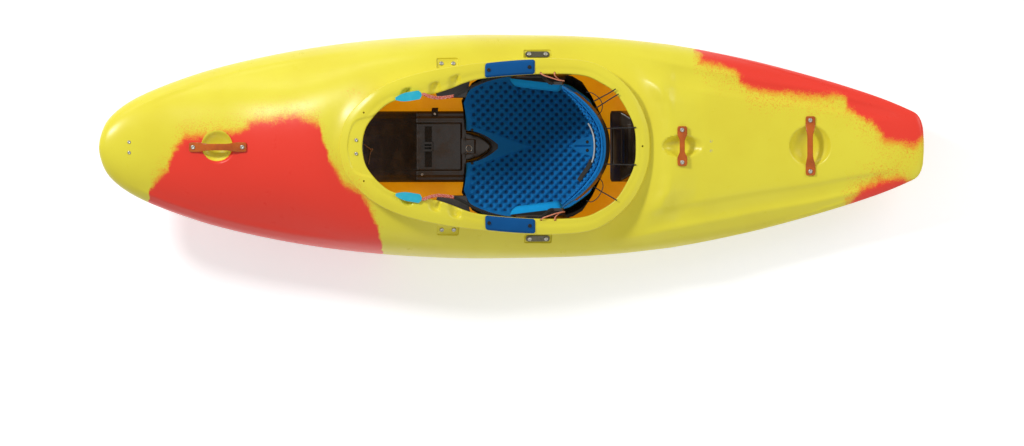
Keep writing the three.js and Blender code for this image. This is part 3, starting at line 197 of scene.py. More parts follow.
# Routes of the cords on the starboard side, in millimetres
CHAIN_ROUTE = (
    (-265.2, 165.2, 437.6), (-261, 165.9, 436.8), (-252, 163, 436), (-238, 157.5, 431), (-217, 154, 417),
    (-192, 156, 402.5), (-167, 161, 386), (-140, 175, 364), (-105, 196, 344), (-55, 215, 324),
    (5, 227, 304), (58, 229, 287), (90, 226, 281), (106, 213, 277), (118, 202, 274.8),
    (126, 199.4, 274.4), (134.7, 199.4, 274.4),
)
BAND_CORD_ROUTE = (
    (96.6, 232, 301), (96.6, 231.6, 309), (98.5, 229.5, 314.6), (107, 224, 314.5), (121, 219, 306),
    (144, 211, 292), (158, 207.5, 284), (165.5, 206.5, 278), (164.5, 206.8, 272), (157, 208, 273),
    (148, 213, 283), (142.5, 220, 296), (140.3, 224.5, 304.8), (140, 229.3, 307), (140, 232.2, 301.5),
    (140, 232.5, 294),
)
REAR_LINE_ROUTE = ((297.8, 56, 298), (330, 57, 296.6), (365, 58, 295.6), (397.5, 59, 294.2))
CHAIN = {"reach": 0.0058, "pitch": 0.019, "taper": 0.006}
THICK = {"band_cord": 0.002, "rear_line": 0.002, "loop": 0.0014, "stay": 0.0019, "tie": 0.0013}
# The two ends of a cord that crosses a joint: body, and place on the starboard side
BAND_CORD_HOLDS = (("hull", (0.130, 0.2315, 0.303)), ("band_ends", (0.136, 0.2085, 0.292)))
REAR_LINE_HOLDS = (("backband", (0.300, 0.056, 0.298)), ("band_ends", (0.395, 0.058, 0.294)))

# Plugs in the seat, bolts of the coaming's pads and screws beside the strap
SEAT_BOLTS = ((0.2115, 0.0137), (0.2115, -0.0127), (-0.152, 0.052), (-0.152, -0.052))
PAD_BOLTS = ((-0.061, 0.2415), (0.063, 0.2505))
STRAP_SCREWS = ((-0.274, 0.1035, 0.0692), (-0.315, -0.088, 0.067))
# Their heads' radius and height, and the length of every shank
PAD_HEAD, STRAP_HEAD, SEAT_HEAD = (0.0062, 0.003), (0.0045, 0.0022), (0.0052, 0.0026)
SHANK = 0.012

# The ring on the front pillar, the black elastic behind the backband and the thin cord
RING = {"x": -0.166, "y": -0.006, "z": 0.0656, "radius": 0.0095, "wire": 0.0012}
LOOP_ROUTES = (
    ((243, 171, 318), (262, 168, 322), (283, 152, 318), (292, 132, 308), (288, 112, 298), (277, 100, 292)),
    (
        (277, -100, 292), (290, -112, 300), (293, -132, 310), (280, -160, 318), (260, -175, 322),
        (243, -171, 318),
    ),
)
TIE_LINE = ((-457, 8), (-449, -1), (-442, -9), (-444, -32), (-447, -56))
TIE = {"lift": 0.0019, "knot_lift": 0.0045, "knot": 0.0042}
STAY_ROUTES = (
    ((262, 141, 300), (285, 153, 304), (310, 166, 304), (334, 181, 300)),
    ((270, 120, 300), (295, 135, 305), (320, 151, 304), (343, 165, 299)),
    ((262, -126, 300), (285, -141, 304), (312, -156, 304), (337, -171, 300)),
)

# Hand holds: the ends that its bolts are named by, span, foot, width at end and waist, thickness, rise
BARS = (
    ("bow_handle", ("front", "rear"), 0.183, 0.026, 0.031, 0.021, 0.006, 0.010),
    ("stern_handle", ("left", "right"), 0.187, 0.026, 0.031, 0.018, 0.006, 0.010),
    ("security_bar", ("left", "right"), 0.126, 0.024, 0.031, 0.016, 0.007, 0.003),
)

# Lamps: place, what it looks at, size or sizes, power; and the camera
LAMPS = (
    ("key_lamp", (-3.3, 2.9, 4.6), (0, 0, 0.15), (1.1,), 206),
    ("fill_lamp", (2.2, -1.8, 2.2), (0, 0, 0.15), (2.4,), 11),
    ("side_lamp", (0.2, -3.2, 1.0), (0, 0, 0.15), (2.4,), 10),
    ("stern_lamp", (3.0, 1.6, 2.0), (0, 0, 0.15), (1.8,), 30),
    ("rail_lamp", (-1.9, 3.8, 1.5), (-0.9, 0.2, 0.3), (2.6, 0.12), 17),
)
CAMERA = {"aim": (-0.0375, -0.2414, 0.005), "away": 5, "far": 30, "roll": -0.13, "wide": 1024}
WHITE = (1, 1, 1, 1)


def curve_through(rows):
    """A smooth function through rows of place and value."""
    place, value = (np.array(column, float) for column in zip(*rows))
    last = len(rows) - 1
    slope = np.array([
        (value[min(i + 1, last)] - value[max(i - 1, 0)]) / (place[min(i + 1, last)] - place[max(i - 1, 0)])
        for i in range(last + 1)
    ])

    def at(where):
        where = np.asarray(where, float)
        i = np.clip(np.searchsorted(place, where, side="right") - 1, 0, last - 1)
        span = place[i + 1] - place[i]
        t = np.clip((where - place[i]) / span, 0, 1)
        rise = value[i + 1] - value[i]
        curl = t * (1 - t) * ((1 - t) * (slope[i] * span - rise) - t * (slope[i + 1] * span - rise))
        return value[i] + rise * t + curl

    return at


COLUMNS = [curve_through([(i, row[c]) for i, row in enumerate(STATIONS)]) for c in range(8)]
LAST_ROW = len(STATIONS) - 1
RAIL_ROWS = [
    (float(COLUMNS[0](row)) * LENGTH - LENGTH / 2, float(COLUMNS[3](row)) * HEIGHT)
    for row in np.linspace(0, LAST_ROW, 50)
]


def lerp(a, b, t):
    return a + (b - a) * t


def eased(t):
    t = np.clip(t, 0, 1)
    return t * t * (3 - 2 * t)


def boat_x(share):
    """Place along the boat of a share of its length."""
    return (share - 0.5) * LENGTH


def row_at(share):
    """Row of the stations, with its fraction, at shares of the boat's length."""
    return np.interp(share, [row[0] for row in STATIONS], range(len(STATIONS)))


def straight(column, share):
    """A column of the stations at shares of the boat's length, in straight steps."""
    return np.interp(share, [row[0] for row in STATIONS], [row[column] for row in STATIONS])


def bell(offset, reach):
    return np.exp(-((offset / reach) ** 2))


def rising(value, start, width):
    """0 up to start and 1 from start + width on, smooth between."""
    return eased((value - start) / width)


def falling(value, start, width):
    """1 up to start and 0 from start + width on, smooth between."""
    return 1 - rising(value, start, width)


def walked(path):
    """How far along a path each of its points lies."""
    return np.concatenate([[0], np.cumsum(np.linalg.norm(np.diff(path, axis=0), axis=1))])


def unit(ways):
    """Ways brought to length one."""
    return ways / np.linalg.norm(ways, axis=-1, keepdims=True)


def xyz(x, y, z):
    """Points from their three coordinates."""
    return np.stack(np.broadcast_arrays(x, y, z), -1)


def share_grid(rows, columns, first=0, second=0):
    """Grids of two shares, each from its start up to 1."""
    return np.meshgrid(np.linspace(first, 1, rows), np.linspace(second, 1, columns), indexing="ij")


def spline(a, b, c, d, t):
    """A point between b and c on the smooth line through four points."""
    return 0.5 * (2 * b + (c - a) * t + (2 * a - 5 * b + 4 * c - d) * t**2 + (3 * b - a - 3 * c + d) * t**3)


def catmull(points, count):
    """A smooth path of count points through the given ones, evenly spaced."""
    points = np.array(points, float)
    points = np.vstack([2 * points[0] - points[1], points, 2 * points[-1] - points[-2]])
    path = [spline(*points[i:i + 4], t) for i in range(len(points) - 3) for t in np.arange(0, 1, 1 / 24)]
    path = np.array(path + [points[-2]])
    reach = walked(path)
    at = np.linspace(0, reach[-1], count)
    return np.stack([np.interp(at, reach, path[:, k]) for k in range(3)], 1)


# Meshes
def grid_quads(rows, columns, ring=False, loop=False, base=0):
    """Faces of a grid of points; ring joins its last column to its first, loop its last row."""
    i = np.arange(rows if loop else rows - 1)[:, None]
    k = np.arange(columns if ring else columns - 1)[None, :]
    n, m = (i + 1) % rows, (k + 1) % columns
    corners = i * columns + k, i * columns + m, n * columns + m, n * columns + k
    return (np.stack(np.broadcast_arrays(*corners), -1).reshape(-1, 4) + base).tolist()


def loft(rings):
    """Skins closed rings of points, with a fan over each end."""
    rings = np.asarray(rings, float)
    rows, columns = rings.shape[:2]
    points = np.vstack([rings.reshape(-1, 3), rings[0].mean(0), rings[-1].mean(0)])
    faces = grid_quads(rows, columns, ring=True)
    first, last = rows * columns, rows * columns + 1
    top = (rows - 1) * columns
    for k in range(columns):
        n = (k + 1) % columns
        faces.append([first, n, k])
        faces.append([last, top + k, top + n])
    return points, faces


def slab(lower, upper):
    """A closed body between two grids of points."""
    rows, columns = lower.shape[:2]
    size = rows * columns
    points = np.vstack([lower.reshape(-1, 3), upper.reshape(-1, 3)])
    faces = [quad[::-1] for quad in grid_quads(rows, columns)]
    faces += grid_quads(rows, columns, base=size)
    edge = [(0, k) for k in range(columns)] + [(i, columns - 1) for i in range(1, rows)]
    edge += [(rows - 1, k) for k in range(columns - 2, -1, -1)] + [(i, 0) for i in range(rows - 2, 0, -1)]
    ids = [i * columns + k for i, k in edge]
    for a, b in zip(ids, ids[1:] + ids[:1]):
        faces.append([a, b, b + size, a + size])
    return points, faces


def tube(path, radius, sides=10):
    """A round tube along a path of points."""
    path = np.asarray(path, float)
    ways = unit(np.gradient(path, axis=0))
    side = np.cross(ways[0], (0, 0, 1) if abs(ways[0][2]) < 0.9 else (1, 0, 0))
    turn = np.linspace(0, 2 * np.pi, sides, endpoint=False)[:, None]
    rings = []
    for point, way in zip(path, ways):
        side = unit(side - way * (side @ way))
        up = np.cross(way, side)
        rings.append(point + radius * (np.cos(turn) * side + np.sin(turn) * up))
    return loft(rings)


def turned(profile, sides):
    """A body of revolution round Z from rows of radius and height, from its top down."""
    turn = np.linspace(0, 2 * np.pi, sides, endpoint=False)
    return loft([xyz(r * np.cos(turn), r * np.sin(turn), z) for r, z in profile])


def together(*bodies):
    """Several bodies as one list of points and faces."""
    points, faces, base = [], [], 0
    for part_points, part_faces in bodies:
        part_points = np.asarray(part_points, float)
        points.append(part_points)
        faces += [[v + base for v in face] for face in part_faces]
        base += len(part_points)
    return np.vstack(points), faces


def mirrored(body, side):
    """The body as it is for starboard (1), turned over to port for -1."""
    points, faces = body
    if side > 0:
        return body
    return np.asarray(points) * (1, -1, 1), [face[::-1] for face in faces]


def raw_object(name, body, material):
    points, faces = body
    mesh = bpy.data.meshes.new(name)
    mesh.from_pydata(np.asarray(points).tolist(), [], [list(map(int, face)) for face in faces])
    mesh.validate()
    mesh.materials.append(material)
    thing = bpy.data.objects.new(name, mesh)
    bpy.context.scene.collection.objects.link(thing)
    return thing


def volume_of(mesh):
    """Volume of a closed mesh, below zero where its faces look inward."""
    mesh.calc_loop_triangles()
    corner = np.zeros(len(mesh.vertices) * 3)
    mesh.vertices.foreach_get("co", corner)
    ids = np.zeros(len(mesh.loop_triangles) * 3, int)
    mesh.loop_triangles.foreach_get("vertices", ids)
    a, b, c = (corner.reshape(-1, 3)[ids.reshape(-1, 3)[:, k]] for k in range(3))
    return np.einsum("ij,ij->i", a, np.cross(b, c)).sum() / 6


def closed_object(name, body, kind):
    """An object of a closed body in the named finish, its faces outward."""
    thing = raw_object(name, body, finish(kind))
    if volume_of(thing.data) < 0:
        thing.data.flip_normals()
    return thing


def shaded(thing, angle):
    """Smooth shading, with edges sharper than the angle kept."""
    thing.data.polygons.foreach_set("use_smooth", [True] * len(thing.data.polygons))
    thing.data.set_sharp_from_angle(angle=math.radians(angle))
    return thing


def placed(thing, rides_on, replaces=()):
    """Sets a piece on its body of the frame, in place of the frame nodes it stands for."""
    if replaces:
        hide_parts(*replaces)
    if rides_on:
        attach(thing, rides_on)
    return thing


def piece(name, body, kind, rides_on, replaces=(), angle=38):
    return placed(shaded(closed_object(name, body, kind), angle), rides_on, replaces)


def marked(thing, pits):
    """Keeps on each point how deep in a dimple it lies, which the foam's finish paints as shade."""
    values = thing.data.attributes.new("dimple", "FLOAT", "POINT")
    values.data.foreach_set("value", np.asarray(pits, np.float32))


def settled(thing):
    """Applies a thing's modifiers to a plain mesh of its own."""
    graph = bpy.context.evaluated_depsgraph_get()
    mesh = bpy.data.meshes.new_from_object(thing.evaluated_get(graph))
    thing.modifiers.clear()
    old = thing.data
    thing.data = mesh
    mesh.name = thing.name
    bpy.data.meshes.remove(old)
    return thing


def cut(thing, name, body, kind, operation="DIFFERENCE"):
    """Cuts a body out of a thing, or joins it on; its faces keep the named finish."""
    tool = closed_object(name, body, kind)
    step = thing.modifiers.new("cut", "BOOLEAN")
    step.operation = operation
    step.solver = "MANIFOLD"
    step.object = tool
    step.material_mode = "TRANSFER"
    settled(thing)
    bpy.data.objects.remove(tool)


# Materials
class Value:
    """A number in a material; the operators add Math nodes."""

    def __init__(self, recipe, socket):
        self.recipe, self.socket = recipe, socket

    def __add__(self, other):
        return self.recipe.maths("ADD", self, other)

    __radd__ = __add__

    def __sub__(self, other):
        return self.recipe.maths("SUBTRACT", self, other)

    def __rsub__(self, other):
        return self.recipe.maths("SUBTRACT", other, self)

    def __mul__(self, other):
        return self.recipe.maths("MULTIPLY", self, other)

    __rmul__ = __mul__

    def __truediv__(self, other):
        return self.recipe.maths("DIVIDE", self, other)


def hexed(text):
    return tuple(int(text[i:i + 2], 16) / 255 for i in (0, 2, 4))


def light(colour):
    """A display colour, written as six hex digits or three shares, as scene light."""
    shares = hexed(colour) if isinstance(colour, str) else colour
    return tuple(c / 12.92 if c <= 0.04045 else ((c + 0.055) / 1.055) ** 2.4 for c in shares) + (1.0,)


class Nodes:
    """A node tree whose outputs are taken as values."""

    def __init__(self, tree):
        self.tree = tree

    def node(self, kind, inputs=None, **settings):
        """A new node with its settings, its inputs set or linked."""
        made = self.tree.nodes.new(kind)
        for name, value in settings.items():
            setattr(made, name, value)
        for key, value in (inputs or {}).items():
            if isinstance(value, Value):
                self.tree.links.new(value.socket, made.inputs[key])
            else:
                made.inputs[key].default_value = value
        return made

    def out(self, made, key=0):
        return Value(self, made.outputs[key])

    def maths(self, operation, a, b=0.0):
        return self.out(self.node("ShaderNodeMath", {0: a, 1: b}, operation=operation))

    def most(self, a, b):
        return self.maths("MAXIMUM", a, b)

    def oval(self, x, y, middle_x, middle_y, half_x, half_y):
        """Square of a place's distance from an oval's middle, 1 on its edge."""
        along, across = (x - middle_x) / half_x, (y - middle_y) / half_y
        return along * along + across * across

    def fade(self, value, low, high):
        """0 at low and 1 at high, smooth between."""
        inputs = {0: value, 1: low, 2: high}
        return self.out(self.node("ShaderNodeMapRange", inputs, interpolation_type="SMOOTHSTEP"))

    def place(self):
        return self.out(self.node("ShaderNodeTexCoord"), "Object")

    def parts(self):
        """Place on the object, as three values."""
        made = self.node("ShaderNodeSeparateXYZ", {0: self.place()})
        return [self.out(made, k) for k in range(3)]

    def noise(self, scale, detail=2.0, roughness=0.5):
        inputs = {"Scale": scale, "Detail": detail, "Roughness": roughness, "Vector": self.place()}
        return self.out(self.node("ShaderNodeTexNoise", inputs))

    def cells(self, scale, feature="F1"):
        inputs = {"Scale": scale, "Vector": self.place()}
        return self.out(self.node("ShaderNodeTexVoronoi", inputs, feature=feature), "Distance")

    def mix(self, share, a, b):
        """A colour between a and b."""
        return self.out(self.node("ShaderNodeMix", {0: share, 6: a, 7: b}, data_type="RGBA"), 2)

    def curve(self, value, rows):
        """A function of a value, drawn in straight steps through rows of place and height."""
        low, high = rows[0][0], rows[-1][0]
        floor, top = min(row[1] for row in rows), max(row[1] for row in rows)
        made = self.node("ShaderNodeFloatCurve", {1: (value - low) / (high - low)})
        line = made.mapping.curves[0]
        spots = [((at - low) / (high - low), (height - floor) / (top - floor)) for at, height in rows]
        line.points[0].location, line.points[1].location = spots[0], spots[-1]
        for spot in spots[1:-1]:
            line.points.new(*spot)
        for point in line.points:
            point.handle_type = "VECTOR"
        made.mapping.update()
        return self.out(made) * (top - floor) + floor


class Recipe(Nodes):
    """One material: a Principled shader and the nodes that feed it."""

    def __init__(self, name, roughness=0.5, metallic=0.0, **constants):
        self.material = bpy.data.materials.new(name)
        self.material.use_nodes = True
        super().__init__(self.material.node_tree)
        self.shader = self.tree.nodes["Principled BSDF"]
        for socket, value in {"Roughness": roughness, "Metallic": metallic, **constants}.items():
            self.shader.inputs[socket.replace("_", " ")].default_value = value

    def feed(self, socket, value):
        self.tree.links.new(value.socket, self.shader.inputs[socket])

    def bump(self, height, strength=0.3, distance=0.001):
        made = self.node("ShaderNodeBump", {"Height": height, "Strength": strength, "Distance": distance})
        self.feed("Normal", self.out(made))


# Red on the shell: its edges seen from above, as place along and place across, in metres
BOW_EDGE = (
    (-1.32, -0.9), (-1.195, -0.9), (-1.18, -0.137), (-1.129, -0.068), (-1.0915, 0.008),
    (-1.066, 0.036), (-1.022, 0.039), (-0.918, 0.046), (-0.893, 0.055), (-0.849, 0.084),
    (-0.773, 0.09), (-0.716, 0.096), (-0.647, 0.074), (-0.618, -0.036), (-0.565, -0.118),
    (-0.517, -0.15), (-0.489, -0.194), (-0.464, -0.245), (-0.445, -0.323), (-0.43, -0.9),
    (-0.3, -0.9),
)
STERN_EDGE = (
    (0.4, 0.9), (0.522, 0.9), (0.5365, 0.308), (0.565, 0.267), (0.669, 0.232), (0.704, 0.188),
    (0.808, 0.1625), (0.909, 0.158), (1.007, 0.153), (1.035, 0.109), (1.101, 0.0615), (1.139, 0.014),
    (1.234, 0.005), (1.259, 0.03), (1.32, 0.06),
)
PORT_EDGE = (
    (0.93, -0.9), (0.975, -0.34), (1.012, -0.19), (1.06, -0.137), (1.12, -0.109), (1.199, -0.106),
    (1.224, -0.125), (1.236, -0.9), (1.3, -0.9),
)

SIGHT = math.radians(7.74)
# Ovals on the shell, as place along and across and half sizes: the bow dish without red, and a smudge
BARE_OVAL = (-0.9235, 0.005, 0.0475, 0.0475)
SMUDGE_OVAL = (-0.485, 0.17, 0.05, 0.022)


def shell_finish():
    """Yellow plastic sprayed red at bow and stern, over an orange mist and dots."""
    sizes = bpy.context.scene.kayak_shell
    r = Recipe("sprayed_shell_plastic", roughness=0.36, Specular_IOR_Level=0.36)
    yellow, red, orange = light(sizes.yellow), light(sizes.red), light("F08A1E")
    x, y, z = r.parts()
    # How far inside the red a place lies, as the photograph's view shows it
    seen = x * math.cos(SIGHT) - z * math.sin(SIGHT) + (r.noise(22, 3) - 0.5) * 0.035
    below = r.most(r.curve(x, RAIL_ROWS) - z, 0.0)
    wobble = (r.noise(11, 3) - 0.5) * 0.05 + (r.noise(70, 2) - 0.5) * 0.02
    grain = (r.noise(420, 2, 0.7) - 0.5) * 0.06
    bow = r.curve(seen, BOW_EDGE) - y + below * 3
    nose = 0.05 - (1 - r.fade(below, 0.004, 0.016)) * 2 - r.fade(x, -1.15, -1.05) * 2
    stern = y + below * 3 - r.curve(seen, STERN_EDGE)
    port = r.curve(seen, PORT_EDGE) - y - r.fade(below, 0.02, 0.035)
    edge = r.most(r.most(bow, nose), r.most(stern, port))
    # The bow dish stays yellow
    bowl = 1 - r.fade(r.oval(x, y, *BARE_OVAL) + (r.noise(90, 2) - 0.5) * 0.1, 0.93, 1.08)
    spray = edge + wobble + grain - bowl * 3
    base = r.mix(r.fade(r.noise(5, 3), 0.35, 0.7) * 0.35, yellow, light("DDC92E"))
    # Dots of orange near the edge, a smudge in front of the cockpit, then mist and red
    near = r.fade(edge + wobble, -0.11, -0.004)
    clumps = r.fade(r.noise(26, 3, 0.7), 0.4, 0.62)
    fine = r.fade(r.noise(300, 3, 0.8) + near * 0.05 + clumps * 0.035, 0.6, 0.66)
    coarse = r.fade(r.noise(150, 2, 0.7) + near * 0.03 + clumps * 0.05, 0.64, 0.685)
    dots = near * r.most(fine, coarse * r.fade(x, 0.2, 0.6)) * (1 - bowl)
    base = r.mix(dots * 0.7, base, light("EA821E"))
    smudge = 1 - r.fade(r.oval(x, y, *SMUDGE_OVAL), 0.1, 1.0)
    base = r.mix(smudge * r.fade(r.noise(240, 3), 0.5, 0.66) * 0.3, base, orange)
    base = r.mix(r.fade(spray, -0.022, 0.004) * 0.8, base, orange)
    base = r.mix(r.fade(spray, -0.004, 0.014), base, red)
    # A thin pale line along the rail's seam, in the red
    seam = r.maths("ABSOLUTE", r.curve(x, RAIL_ROWS) - z)
    rail_line = (1 - r.fade(seam, 0.0006, 0.0026)) * r.fade(edge, 0.0, 0.05)
    rail_line = rail_line * r.fade(r.noise(30, 2), 0.3, 0.55)
    r.feed("Base Color", r.mix(rail_line * 0.85, base, light("F0B83A")))
    r.feed("Roughness", r.noise(26, 4) * 0.12 + r.noise(600, 1) * 0.06 + 0.21)
    r.bump(r.noise(480, 3, 0.6) * 0.5 + r.noise(40, 2), 0.16, 0.0009)
    return r.material


def inside_finish():
    """The shell's bare inner face, with a painted glow of its own colour standing for the light that comes
    through its wall.
    """
    r = Recipe("inner_shell_plastic", roughness=0.5, Emission_Strength=0.42)
    base = r.mix(r.fade(r.noise(7, 4), 0.3, 0.7), light("E8A408"), light("D48E04"))
    base = r.mix(r.fade(r.noise(300, 3), 0.55, 0.75) * 0.3, base, light("F0BC28"))
    r.feed("Base Color", base)
    # Painted glow: the inner face gives off its own colour as light
    r.feed("Emission Color", base)
    r.bump(r.noise(700, 2), 0.3, 0.0006)
    return r.material


PORES = 1500


def uneven(r, share, a, b):
    """A colour that wanders between a and b."""
    return r.mix(r.fade(r.noise(18, 4), 0.3, 0.75) * share, a, b)


def pored(r, strength):
    """Open pores, as bump; gives them back as a value."""
    pores = r.cells(PORES)
    r.bump(pores * 0.6 + r.noise(900, 3) * 0.5, strength, 0.0005)
    return pores


def seat_foam_finish():
    """Blue foam, with painted shade darkening it towards navy down in its dimples."""
    r = Recipe("egg_crate_foam", roughness=0.82, Specular_IOR_Level=0.25)
    pit = r.out(r.node("ShaderNodeAttribute", attribute_name="dimple"), "Fac")
    tone = uneven(r, 0.45, light(bpy.context.scene.kayak_foam.blue), light("068ACC"))
    # Painted shade: slightly darker down in the pores
    tone = r.mix(r.fade(pored(r, 0.3), 0.1, 0.5) * 0.2, light("066AB4"), tone)
    # Painted shade: the deeper a place lies in a dimple, the nearer its blue goes to dark navy
    r.feed("Base Color", r.mix(r.fade(pit, 0.45, 0.92) * 0.88, tone, light("032E56")))
    return r.material


def foam_finish(name, deep, colour=None):
    r = Recipe(name, roughness=0.85, Specular_IOR_Level=0.25)
    tone = uneven(r, 0.6, light(colour or bpy.context.scene.kayak_foam.blue), light(deep))
    # Painted shade: slightly darker down in the pores
    r.feed("Base Color", r.mix(r.fade(pored(r, 0.35), 0.1, 0.5) * 0.25, light(deep), tone))
    r.feed("Roughness", r.noise(60, 3) * 0.12 + 0.8)
    return r.material


def plastic_finish(name, colour, lighter_patch_colour, roughness=0.5, grain=520):
    """Moulded plastic with a fine leather grain and lighter patches laid by noise: dust, and on the pillars a
    painted sheen.
    """
    r = Recipe(name, roughness=roughness)
    dust_and_sheen = r.fade(r.noise(22, 5, 0.6), 0.42, 0.72)
    # Lighter patches: dust, and for the pillars a painted sheen
    r.feed("Base Color", r.mix(dust_and_sheen * 0.45, light(colour), light(lighter_patch_colour)))
    r.feed("Roughness", dust_and_sheen * 0.16 + (roughness - 0.05))
    r.bump(r.cells(grain, "SMOOTH_F1") + r.noise(45, 3) * 0.6, 0.22, 0.0006)
    return r.material


def metal_finish(name, colour, dark, roughness=0.28):
    r = Recipe(name, roughness=roughness, metallic=0.9)
    wear = r.fade(r.noise(160, 4, 0.65), 0.45, 0.7)
    r.feed("Base Color", r.mix(wear * 0.5, light(colour), light(dark)))
    r.feed("Roughness", wear * 0.2 + roughness)
    r.bump(r.noise(1200, 2), 0.12, 0.0003)
    return r.material


def handle_finish():
    r = Recipe("orange_moulded_grip", roughness=0.24, Coat_Weight=0.25, Specular_IOR_Level=0.25)
    flow = r.fade(r.noise(28, 4), 0.35, 0.7)
    r.feed("Base Color", r.mix(flow * 0.6, light("C25C06"), light("964202")))
    r.feed("Roughness", flow * 0.14 + 0.2)
    r.bump(r.noise(300, 3), 0.14, 0.0005)
    return r.material


def cord_finish(name, colour, fleck, pitch=2600, end=None):
    """Braided cord of small strands in two colours; black from the place along the boat named end on."""
    r = Recipe(name, roughness=0.75)
    x, y, z = r.parts()
    wave = r.maths("SINE", (x + y) * pitch) * r.maths("SINE", (x - y + z) * pitch)
    tone = r.mix(r.fade(wave, 0.3, 0.5), light(colour), light(fleck))
    if end is not None:
        tone = r.mix(r.fade(x, end, end + 0.004), tone, light("17140F"))
    r.feed("Base Color", tone)
    r.bump(wave, 0.5, 0.0006)
    return r.material


def webbing_finish():
    r = Recipe("black_webbing", roughness=0.85)
    x, y, _ = r.parts()
    weave = r.maths("SINE", x * 2800) * r.maths("SINE", y * 2800)
    r.feed("Base Color", r.mix(r.fade(weave, -0.2, 0.7), light("15130F"), light("2E2A22")))
    r.bump(weave, 0.5, 0.0005)
    return r.material


def hip_finish():
    """Blue foam with the black cover of its outer half."""
    r = Recipe("covered_foam", roughness=0.82, Specular_IOR_Level=0.25)
    x, y, _ = r.parts()
    cover = r.fade(r.maths("ABSOLUTE", y) + x * 0.12, 0.2125, 0.2145)
    blue = uneven(r, 0.45, light(bpy.context.scene.kayak_foam.blue), light("068ACC"))
    r.feed("Base Color", r.mix(cover, blue, light("1C1A17")))
    pored(r, 0.3)
    return r.material


MAKERS = {
    "shell": (shell_finish,),
    "inside": (inside_finish,),
    "foam": (foam_finish, "blue_foam", "0678CC"),
    "seat": (seat_foam_finish,),
    "hip": (hip_finish,),
    "rubber": (foam_finish, "blue_rubber", "024F8C", "0262A8"),
    # The warm brown tint of the black plastic is a painted reflection of the yellow shell
    "black": (plastic_finish, "black_plastic", "211B13", "352C1D", 0.42),
    "steel": (metal_finish, "steel", "A19E94", "5E5B54"),
    "grey": (metal_finish, "grey_plate", "5A5646", "3A372C", 0.38),
    "handle": (handle_finish,),
    "tab": (plastic_finish, "turquoise_tab", "17AFCB", "4CC7DA", 0.4, 800),
    "red_cord": (cord_finish, "red_cord", "CC3018", "F6E6D0", 1150, -0.172),
    "peach_cord": (cord_finish, "peach_cord", "E9825C", "F6C6A6"),
    "black_cord": (cord_finish, "black_elastic", "0D0C0A", "24211C"),
    "tie_cord": (cord_finish, "brown_cord", "7A4A22", "A8703C"),
    "webbing": (webbing_finish,),
    # A pale grey that paints a highlight on the backband's black edge
    "highlight_band": (plastic_finish, "pale_liner", "9AA0A2", "C4C8C8", 0.35),
    # The pillars' brown and their lighter patches are partly a painted sheen on the dark plastic
    "pillar": (plastic_finish, "brown_black_plastic", "261B0C", "453318", 0.38, 300),
    "dark_metal": (metal_finish, "dark_bolt", "2C2A26", "141310", 0.3),
}
FINISHES = {}


def finish(kind):
    """The named material, made when it is first asked for."""
    if kind not in FINISHES:
        maker, *values = MAKERS[kind]
        FINISHES[kind] = maker(*values)
    return FINISHES[kind]


# Shell sections
def station(row, inset):
    """Sizes of the section at a row, in metres, with its skin moved inward."""
    along, half, keel, rail, deck, crown, side, floor = (column(row) for column in COLUMNS)
    return {
        "along": along, "crown": crown, "side": side, "floor": floor, "x": boat_x(along),
        "half": half * BEAM / 2 - inset, "keel": np.maximum(keel, 0) * HEIGHT + inset,
        "rail": rail * HEIGHT, "deck": deck * HEIGHT - inset,
    }


def bezier(p, t):
    s = 1 - t
    return p[0] * s**3 + 3 * p[1] * s * s * t + 3 * p[2] * s * t * t + p[3] * t**3


def deck_point(at, turn):
    low = at["rail"] + at["side"] * (at["deck"] - at["rail"])
    y = bezier((0, at["crown"] * at["half"], at["half"], at["half"]), turn)
    z = bezier((at["deck"], at["deck"], low, at["rail"]), turn)
    dip = SCOOP["depth"] * bell(at["along"] - SCOOP["along"], SCOOP["reach"])
    return y, z - dip * bell(turn - SCOOP["turn"], SCOOP["turn_reach"])


def side_point(at, turn):
    half = at["half"]
    y = bezier((half, half * (1 - TUCK), half * CHINE, half * at["floor"]), turn)
    z = bezier((at["rail"], lerp(at["rail"], at["keel"], DROP), at["keel"], at["keel"]), turn)
    return y, z


def even_turns(point, count, centre_weight):
    """Turns along a section spaced evenly, closer together near the centre line."""
    at = station(13, 0)
    t = np.linspace(0, 1, 800)
    y, z = point(at, t)
    step = np.hypot(np.diff(y), np.diff(z)) * (1 + centre_weight * bell(y[:-1] / at["half"], 0.3))
    reach = np.concatenate([[0], np.cumsum(step)])
    return np.interp(np.linspace(0, reach[-1], count + 1), reach, t)


def even_rows(first, last, count, zones=()):
    """Rows spaced evenly along the boat's outline, closer together in the given zones."""
    rows = np.linspace(first, last, 6000)
    at = station(rows, 0)
    weight = np.ones(len(rows))
    for x, half, gain in zones:
        weight += gain * (np.abs(at["x"] - x) < half)
    step = np.sqrt(np.diff(at["x"])**2 + np.diff(at["half"])**2 + np.diff(at["deck"])**2)
    reach = np.concatenate([[0], np.cumsum(step * weight[:-1])])
    return np.interp(np.linspace(0, reach[-1], count), reach, rows)


def section_rings(rows, inset, deck_turns, side_turns):
    """Closed sections of the hull, from the deck's middle down one side and up the other."""
    at = {key: np.asarray(value)[:, None] for key, value in station(rows, inset).items()}
    deck_y, deck_z = deck_point(at, deck_turns[None, :])
    side_y, side_z = side_point(at, side_turns[None, 1:])
    y, z = np.hstack([deck_y, side_y]), np.hstack([deck_z, side_z])
    y = np.hstack([y, 0 * at["keel"], -y[:, :0:-1]])
    z = np.hstack([z, at["keel"], z[:, :0:-1]])
    return xyz(at["x"], y, z)


